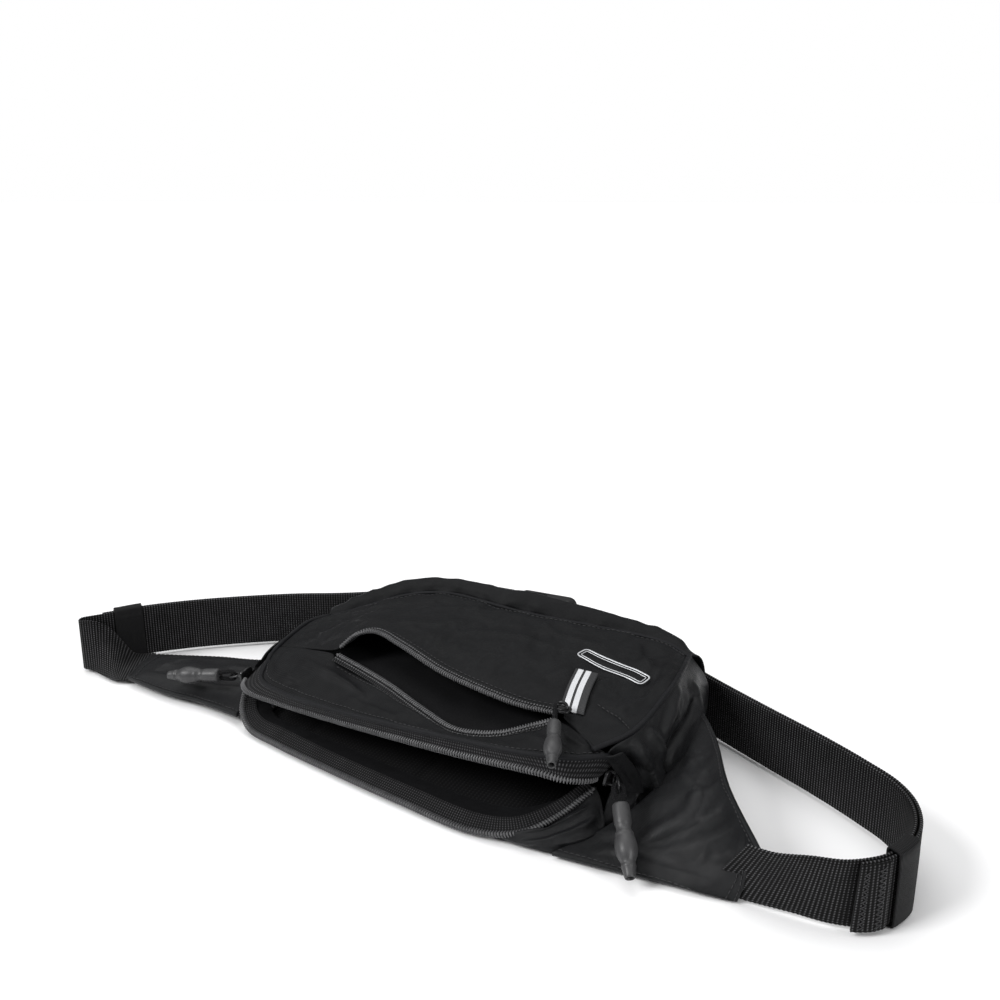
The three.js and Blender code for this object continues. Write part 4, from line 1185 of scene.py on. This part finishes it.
def make_back_pad():
    """The padded panel, swollen a little, with sewn channels, a bound edge and a row of stitches."""
    outline = closed_line([(x, y, 0) for x, y in PANEL_OUTLINE], 150)
    count = len(outline)

    def drawn_in(line, share):
        return PAD_CENTRE + (line - PAD_CENTRE) * share

    inner = drawn_in(outline, 0.986)
    points = np.vstack([inner + (0, 0, 1.3), inner + (0, 0, PAD - 1.2)])
    caps = [tuple(range(count - 1, -1, -1)), tuple(range(count, 2 * count))]
    pad = mesh_object("back_pad", points * MM, grid_faces(2, count, loop=True) + caps)
    add_stack(pad, ("REMESH", {"mode": "VOXEL", "voxel_size": VOXEL * MM}))
    settle(pad)
    puffed(pad, PRESSURE, MOST_SWELL)
    flat = np.array([v.co for v in pad.data.vertices])
    half = CHANNEL_PITCH * MM / 2
    channel = np.abs((flat[:, 0] - half) % (2 * half) - half)
    groove = CHANNEL_DEPTH * MM * np.exp(-((channel / (CHANNEL_WIDTH * MM)) ** 2))
    groove *= (flat[:, 1] < 0.064) & (flat[:, 1] > -0.07) & (flat[:, 2] > PAD / 2 * MM)
    flat[:, 2] = np.clip(flat[:, 2] - groove, 0.25 * MM, 6.4 * MM)
    pad.data.vertices.foreach_set("co", flat.ravel())
    shade_smooth(pad.data)
    add_cloth_run(pad.data, flat[:, :2])
    add_stack(pad, subdivided(1))
    hand_over(pad, mesh_lining, "padding", "back_panel", body="bag")

    edge = outline + (0, 0, PAD / 2)
    binding = swept(drawn_in(edge, 0.992), ellipse(1.3, PAD / 2 - 0.2, 12), np.array([0, 0, 1.0]), loop=True)
    hand_over(joined("back_pad_binding", [binding]), piping_cloth, "piping", body="bag")
    sewing = stitches(drawn_in(edge, 0.976) + (0, 0, PAD / 2 + 0.35), np.tile((0, 0, 1.0), (count, 1)))
    hand_over(joined("back_pad_stitching", sewing), thread, "padding", body="bag")


# ---- the tab by the pocket's slider, and the label ----
def make_tab():
    grid = loft([
        [(80.5, -35, 58.2), (80, -32, 60.2), (76.5, -14, 63.2), (74, 5, 65.4)],
        [(95.5, -36, 58.4), (95, -33, 60.4), (91.5, -15, 63.6), (89, 4, 65.4)],
    ], 44, 16)
    hand_over(sewn_cloth("pocket_tab_webbing", grid, 1.3, lift=0.8), tab_weave, "webbing", "pocket_tab",
              body="front")
    top = raised(grid, 0.9)
    ends = [part for column in (-3, -6) for part in stitches(*row_line(top, column=column), 1.6, 0.4, 0.24)]
    hand_over(joined("pocket_tab_stitching", ends), thread, "webbing", body="front")


LABEL_AT, LABEL_ALONG = np.array([92, 20, 64]), np.array([0.955, -0.297, 0])
LABEL_SIZE, LABEL_CORNER, LABEL_STEPS, LABEL_RISE, LABEL_WALL = (50, 11), 3.2, 140, 0.7, 0.35
LABEL_LINES = ((0, 0.95), (2.2, 0.45))  # each how far in from the edge, and how thick


def laid_on(grid, points, rise):
    """Points dropped straight down onto a grid, over its small folds."""
    gaps = np.linalg.norm(points[:, None, :2] - grid.reshape(-1, 3)[None, :, :2], axis=2)
    on, up = nearest(grid, gaps, 60, lambda gap: gap**2 + 30)
    return np.column_stack([points[:, :2], on[:, 2]]) + up * rise


def make_label(panel):
    """A blank printed label: a slim rounded frame with a thin line inside it."""
    across = np.array([-LABEL_ALONG[1], LABEL_ALONG[0], 0])
    width, height = LABEL_SIZE
    parts = []
    for inset, thick in LABEL_LINES:
        rings = []
        for trim in (inset, inset + thick):
            corner_radius = max(LABEL_CORNER - trim, 0.3)
            outline = np.array(rounded_strip(height - 2 * trim, width - 2 * trim, corner_radius, 7))
            flat = LABEL_AT + outline[:, :1] * LABEL_ALONG + outline[:, 1:] * across
            flat = np.vstack([flat, flat[:1]])
            run = travelled(flat)
            flat = picked(flat, run, np.linspace(0, run[-1], LABEL_STEPS, endpoint=False))
            rings.append(laid_on(panel, flat, LABEL_RISE))
        points = np.vstack(rings)
        parts.append((points, grid_faces(2, LABEL_STEPS, loop=True), points[:, :2] * MM))
    piece = add_stack(joined("blank_label", parts), ("SOLIDIFY", {"thickness": LABEL_WALL * MM, "offset": 0}))
    hand_over(piece, label_foil, "webbing", body="front")


# ---- buckle ----
def make_buckle():
    """The moulded parts with their edges rounded over."""
    rounding = {"width": 0.7 * MM, "segments": 3, "limit_method": "ANGLE", "angle_limit": math.radians(35)}
    for node, body in (
        ("buckle_socket", "bag"), ("buckle_plug", "buckle_plug"), ("upper_prong", "upper_prong"),
        ("lower_prong", "lower_prong"),
    ):
        piece = linked(node + "_moulding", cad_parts[node].data.copy())
        add_stack(piece, ("WELD", {"merge_threshold": 0.02 * MM}), ("BEVEL", rounding))
        settle(piece)
        shade_smooth(piece.data)
        add_stack(piece, ("WEIGHTED_NORMAL", {}))
        hand_over(settle(piece), buckle_plastic, "buckle_plastic", node, body=body)


# ---- sliders and their pulls ----
BRIDGE_HOLE, BRIDGE_RADIUS = 4.1, 3.65
SLIDER_HALF_LENGTH, SLIDER_HALF_WIDTH, SLIDER_SIDES = 6, 4.7, 40
# the slider's crown from the tape up: height, and share of the outline
SLIDER_LEVELS = ((0.0, 0.94), (0.3, 1.0), (1.4, 1.0), (1.85, 0.95), (1.95, 0.86), (1.75, 0.8), (1.75, 0.02))
WIRE_LENGTH, WIRE_HALF_WIDTH, WIRE_RADIUS = 10, 3.8, 0.75


def unit(way):
    """The direction of a way, one long."""
    return np.array(way, float) / np.linalg.norm(way)


def frame_of(at, x, y, z):
    """A place and three directions as a matrix."""
    place = np.eye(4)
    place[:3, :3] = np.column_stack([x, y, z])
    place[:3, 3] = at
    return place


def standing(at, along, outward):
    """A frame with x along and y outward."""
    x = unit(along)
    z = unit(np.cross(x, outward))
    return frame_of(at, x, np.cross(z, x), z)


def hanging(at, towards, sideways):
    """A frame with z back from where a thing hangs, and x sideways."""
    z = -unit(towards)
    y = unit(np.cross(z, sideways))
    return frame_of(at, np.cross(y, z), y, z)


def placed(points, place):
    """Points taken from a frame of their own into the bag's."""
    return np.asarray(points, float) @ place[:3, :3].T + place[:3, 3]


def make_slider(name, at, along, outward, scale, crosswise):
    """A cast slider: a waisted crown with a rim, and the bridge that holds the wire."""
    place = standing(at, along, outward)
    place[:3, :3] *= scale
    outline = []
    for k in range(SLIDER_SIDES):
        turn = 2 * math.pi * k / SLIDER_SIDES
        x, z = math.cos(turn), math.sin(turn)
        reach = (abs(x) ** 4 + abs(z) ** 4) ** -0.25
        x, z = x * reach * SLIDER_HALF_LENGTH, z * reach * SLIDER_HALF_WIDTH
        outline.append((x, z * (1 - 0.16 * math.exp(-((x + 2.6) ** 2) / 4))))
    outline = np.array(outline)
    crown = np.vstack([
        np.column_stack([outline[:, 0] * share, np.full(SLIDER_SIDES, height), outline[:, 1] * share])
        for height, share in SLIDER_LEVELS
    ])
    last = len(crown) - SLIDER_SIDES
    faces = grid_faces(len(SLIDER_LEVELS), SLIDER_SIDES, loop=True)
    faces += [tuple(range(SLIDER_SIDES)), tuple(range(len(crown) - 1, last - 1, -1))]

    turns = np.radians(np.linspace(0, 180, 17))
    arch = [(BRIDGE_RADIUS * math.cos(t), 2.6 + BRIDGE_RADIUS * math.sin(t), 0) for t in turns]
    arch = [(BRIDGE_RADIUS, 1.4, 0), *arch, (-BRIDGE_RADIUS, 1.4, 0)]
    if not crosswise:
        arch = [(z, y, x) for x, y, z in arch]
    path = placed(arch, place)
    flat = [(2.3 / 2.4 * a * scale, b * scale) for a, b in rounded_strip(2.4, 1.7, 0.6, 4)]
    square = place[:3, 2] if crosswise else place[:3, 0]
    bridge = swept(path, flat, np.broadcast_to(square, path.shape))
    piece = joined(name + "_casting", [(placed(crown, place), faces, np.zeros((len(crown), 2))), bridge])
    fix_outward(piece)
    add_stack(piece, ("BEVEL", {"width": 0.15 * MM, "segments": 2, "limit_method": "ANGLE"}))
    hand_over(piece, slider_metal, "slider_metal", name, body=name)
    return placed([(0, BRIDGE_HOLE, 0)], place)[0]


def fix_outward(piece):
    """Joins double points and turns every face outwards."""
    work = bmesh.new()
    work.from_mesh(piece.data)
    bmesh.ops.remove_doubles(work, verts=work.verts, dist=1e-6)
    bmesh.ops.recalc_face_normals(work, faces=work.faces)
    work.to_mesh(piece.data)
    work.free()


def braided(path, radius, strands=4, pitch=5.2):
    """A braided cord: as many strands going round each way, passing over and under each other."""
    line = spaced(path, int(length_of(path) * 3.2))
    run = travelled(line)
    _, across, up = rails(line)
    parts = [swept(line[::3], ring(radius * 0.66, 7))]
    for way in (1, -1):
        for k in range(strands):
            angle = way * 2 * math.pi * run / pitch + 2 * math.pi * k / strands
            lift = radius * (0.80 + 0.13 * np.cos(strands * angle + (0 if way > 0 else math.pi)))
            strand = line + across * (np.cos(angle) * lift)[:, None] + up * (np.sin(angle) * lift)[:, None]
            parts.append(swept(strand, ring(radius * 0.30, 5, 0.75)))
    return parts


# the moulded end: shares of its radius and of its length
PULL_END = [
    (0.0, 0.0), (0.55, 0.0), (0.70, 0.006), (0.765, 0.03), (0.78, 0.06), (0.78, 0.255), (0.755, 0.285),
    (0.68, 0.31), (0.655, 0.345), (0.67, 0.375), (0.80, 0.405), (0.845, 0.43), (0.825, 0.455), (0.90, 0.49),
    (0.97, 0.54), (1.0, 0.60), (0.985, 0.655), (0.90, 0.705), (0.76, 0.75), (0.64, 0.785), (0.60, 0.81),
    (0.655, 0.832), (0.655, 0.855), (0.58, 0.875), (0.53, 0.93), (0.50, 0.975), (0.45, 0.998), (0.37, 1.0),
    (0.31, 0.98), (0.28, 0.90), (0.0, 0.86),
]


def make_pull(name, hole, along, wire_down, tip, length, radius, cord):
    """A wire in the slider's bridge, a loop of cord through the wire, and the moulded end on the cord."""
    across = unit(along)
    wire = hanging(hole, wire_down, across)
    half = WIRE_HALF_WIDTH
    bow = [(-half, -half), (-half * 0.7, -0.9), (0, 0), (half * 0.7, -0.9), (half, -half)]
    oval = [(x, 0, z) for x, z in bow] + [(x, 0, -WIRE_LENGTH - z) for x, z in reversed(bow)]
    path = placed(closed_line(oval, 64), wire)
    loop = swept(path, ring(WIRE_RADIUS, 10), np.broadcast_to(wire[:3, 1], path.shape), loop=True)
    hand_over(joined(name + "_ring", [loop]), slider_metal, "slider_metal", name + "_wire", body=name)

    knot = hole + unit(wire_down) * WIRE_LENGTH
    tip = np.array(tip, float)
    hang = hanging(knot, tip - knot, across)
    neck = length - np.linalg.norm(tip - knot)
    top = (cord / 2 + 1.2) / np.linalg.norm(np.cross(unit(tip - knot), across))
    leg = [(2, neck - 2.5), (2, neck + 0.5), (2.4, neck * 0.5), (2.7, top - 2.5), (2, top - 0.7)]
    legs = [(0, y, z) for y, z in leg] + [(0, 0, top)] + [(0, -y, z) for y, z in reversed(leg)]
    hand_over(joined(name + "_braid", braided(placed(legs, hang), cord / 2)), cord_yarn, "pull_cord",
              name + "_cord", body=name)

    profile = [(r * radius * MM, 0, (neck - t * length) * MM) for r, t in PULL_END]
    mesh = bpy.data.meshes.new(name + "_grip")
    mesh.from_pydata(profile, [(k, k + 1) for k in range(len(profile) - 1)], [])
    grip = linked(name + "_grip", mesh)
    add_stack(grip, ("SCREW", {"steps": 36, "render_steps": 36, "use_merge_vertices": True,
                               "merge_threshold": 1e-5, "use_smooth_shade": True}))
    settle(grip)
    place = Matrix(hang.tolist())
    place.translation = Vector(hang[:3, 3]) * MM
    grip.data.transform(place)
    fix_outward(grip)
    shade_smooth(grip.data)
    add_stack(grip, subdivided(1))
    hand_over(grip, pull_rubber, "pull_rubber", name + "_end", body=name)


def make_sliders():
    """Each slider parked at its end of its zip, and its pull hanging from it towards the pull's tip."""
    right = make_slider("right_slider", (116.5, -54, 35.6), (0, -1, 0.15), (1, 0, -0.15), 1, False)
    left = make_slider("left_slider", (-149.5, -27, 28), (0, 1, 0), (-1, 0, 0), 1, True)
    pocket = make_slider("pocket_slider", (84, -40, 60.6), (1, 0, 0), (0, 0, 1), 0.85, True)
    make_pull("right_pull", right, (0.15, 0, 1), (0.56, -0.82, -0.08), (146, -98, 9), 40, 6, 2.6)
    make_pull("left_pull", left, (0, 1, 0), (-0.95, 0, -0.3), (-211, -36, 19), 40, 6, 2.6)
    make_pull("pocket_pull", pocket, (1, 0, 0), (0, -0.98, 0.2), (100, -92, 57.5), 34, 5, 2.2)


def make_zip_flap():
    """The flap that the right slider parks under, folded down beside the gusset."""
    grid = loft([
        [(116.5, -60, 51), (120, -57, 44), (124, -53.5, 35), (127.5, -50.5, 26)],
        [(121, -60.5, 52.5), (124, -56, 45), (127.5, -52, 36), (130.5, -48.5, 26)],
        [(125.5, -57, 54), (129, -51.5, 46), (132, -47.5, 37), (134, -44, 25)],
    ], 34, 14)
    grid = crease(grid, [(121, -60, 51), (125, -55, 42), (130, -49, 28)], -0.8, 2.2, 0.5, 0.2)
    grid = rumple(grid, 0.5, 8, 61, hold=2)
    hand_over(sewn_cloth("right_zip_flap", grid, 1.1, lift=1.0), shell, "shell_fabric", body="front")


panel = make_front()
make_pocket_lining()
make_main_zip()
make_pocket_zip()
make_bottom_gusset()
make_side_gussets()
make_mouth_edge()
make_zip_flap()
make_right_wing()
make_left_wing()
make_belt()
make_back_pad()
make_tab()
make_label(panel)
make_buckle()
make_sliders()
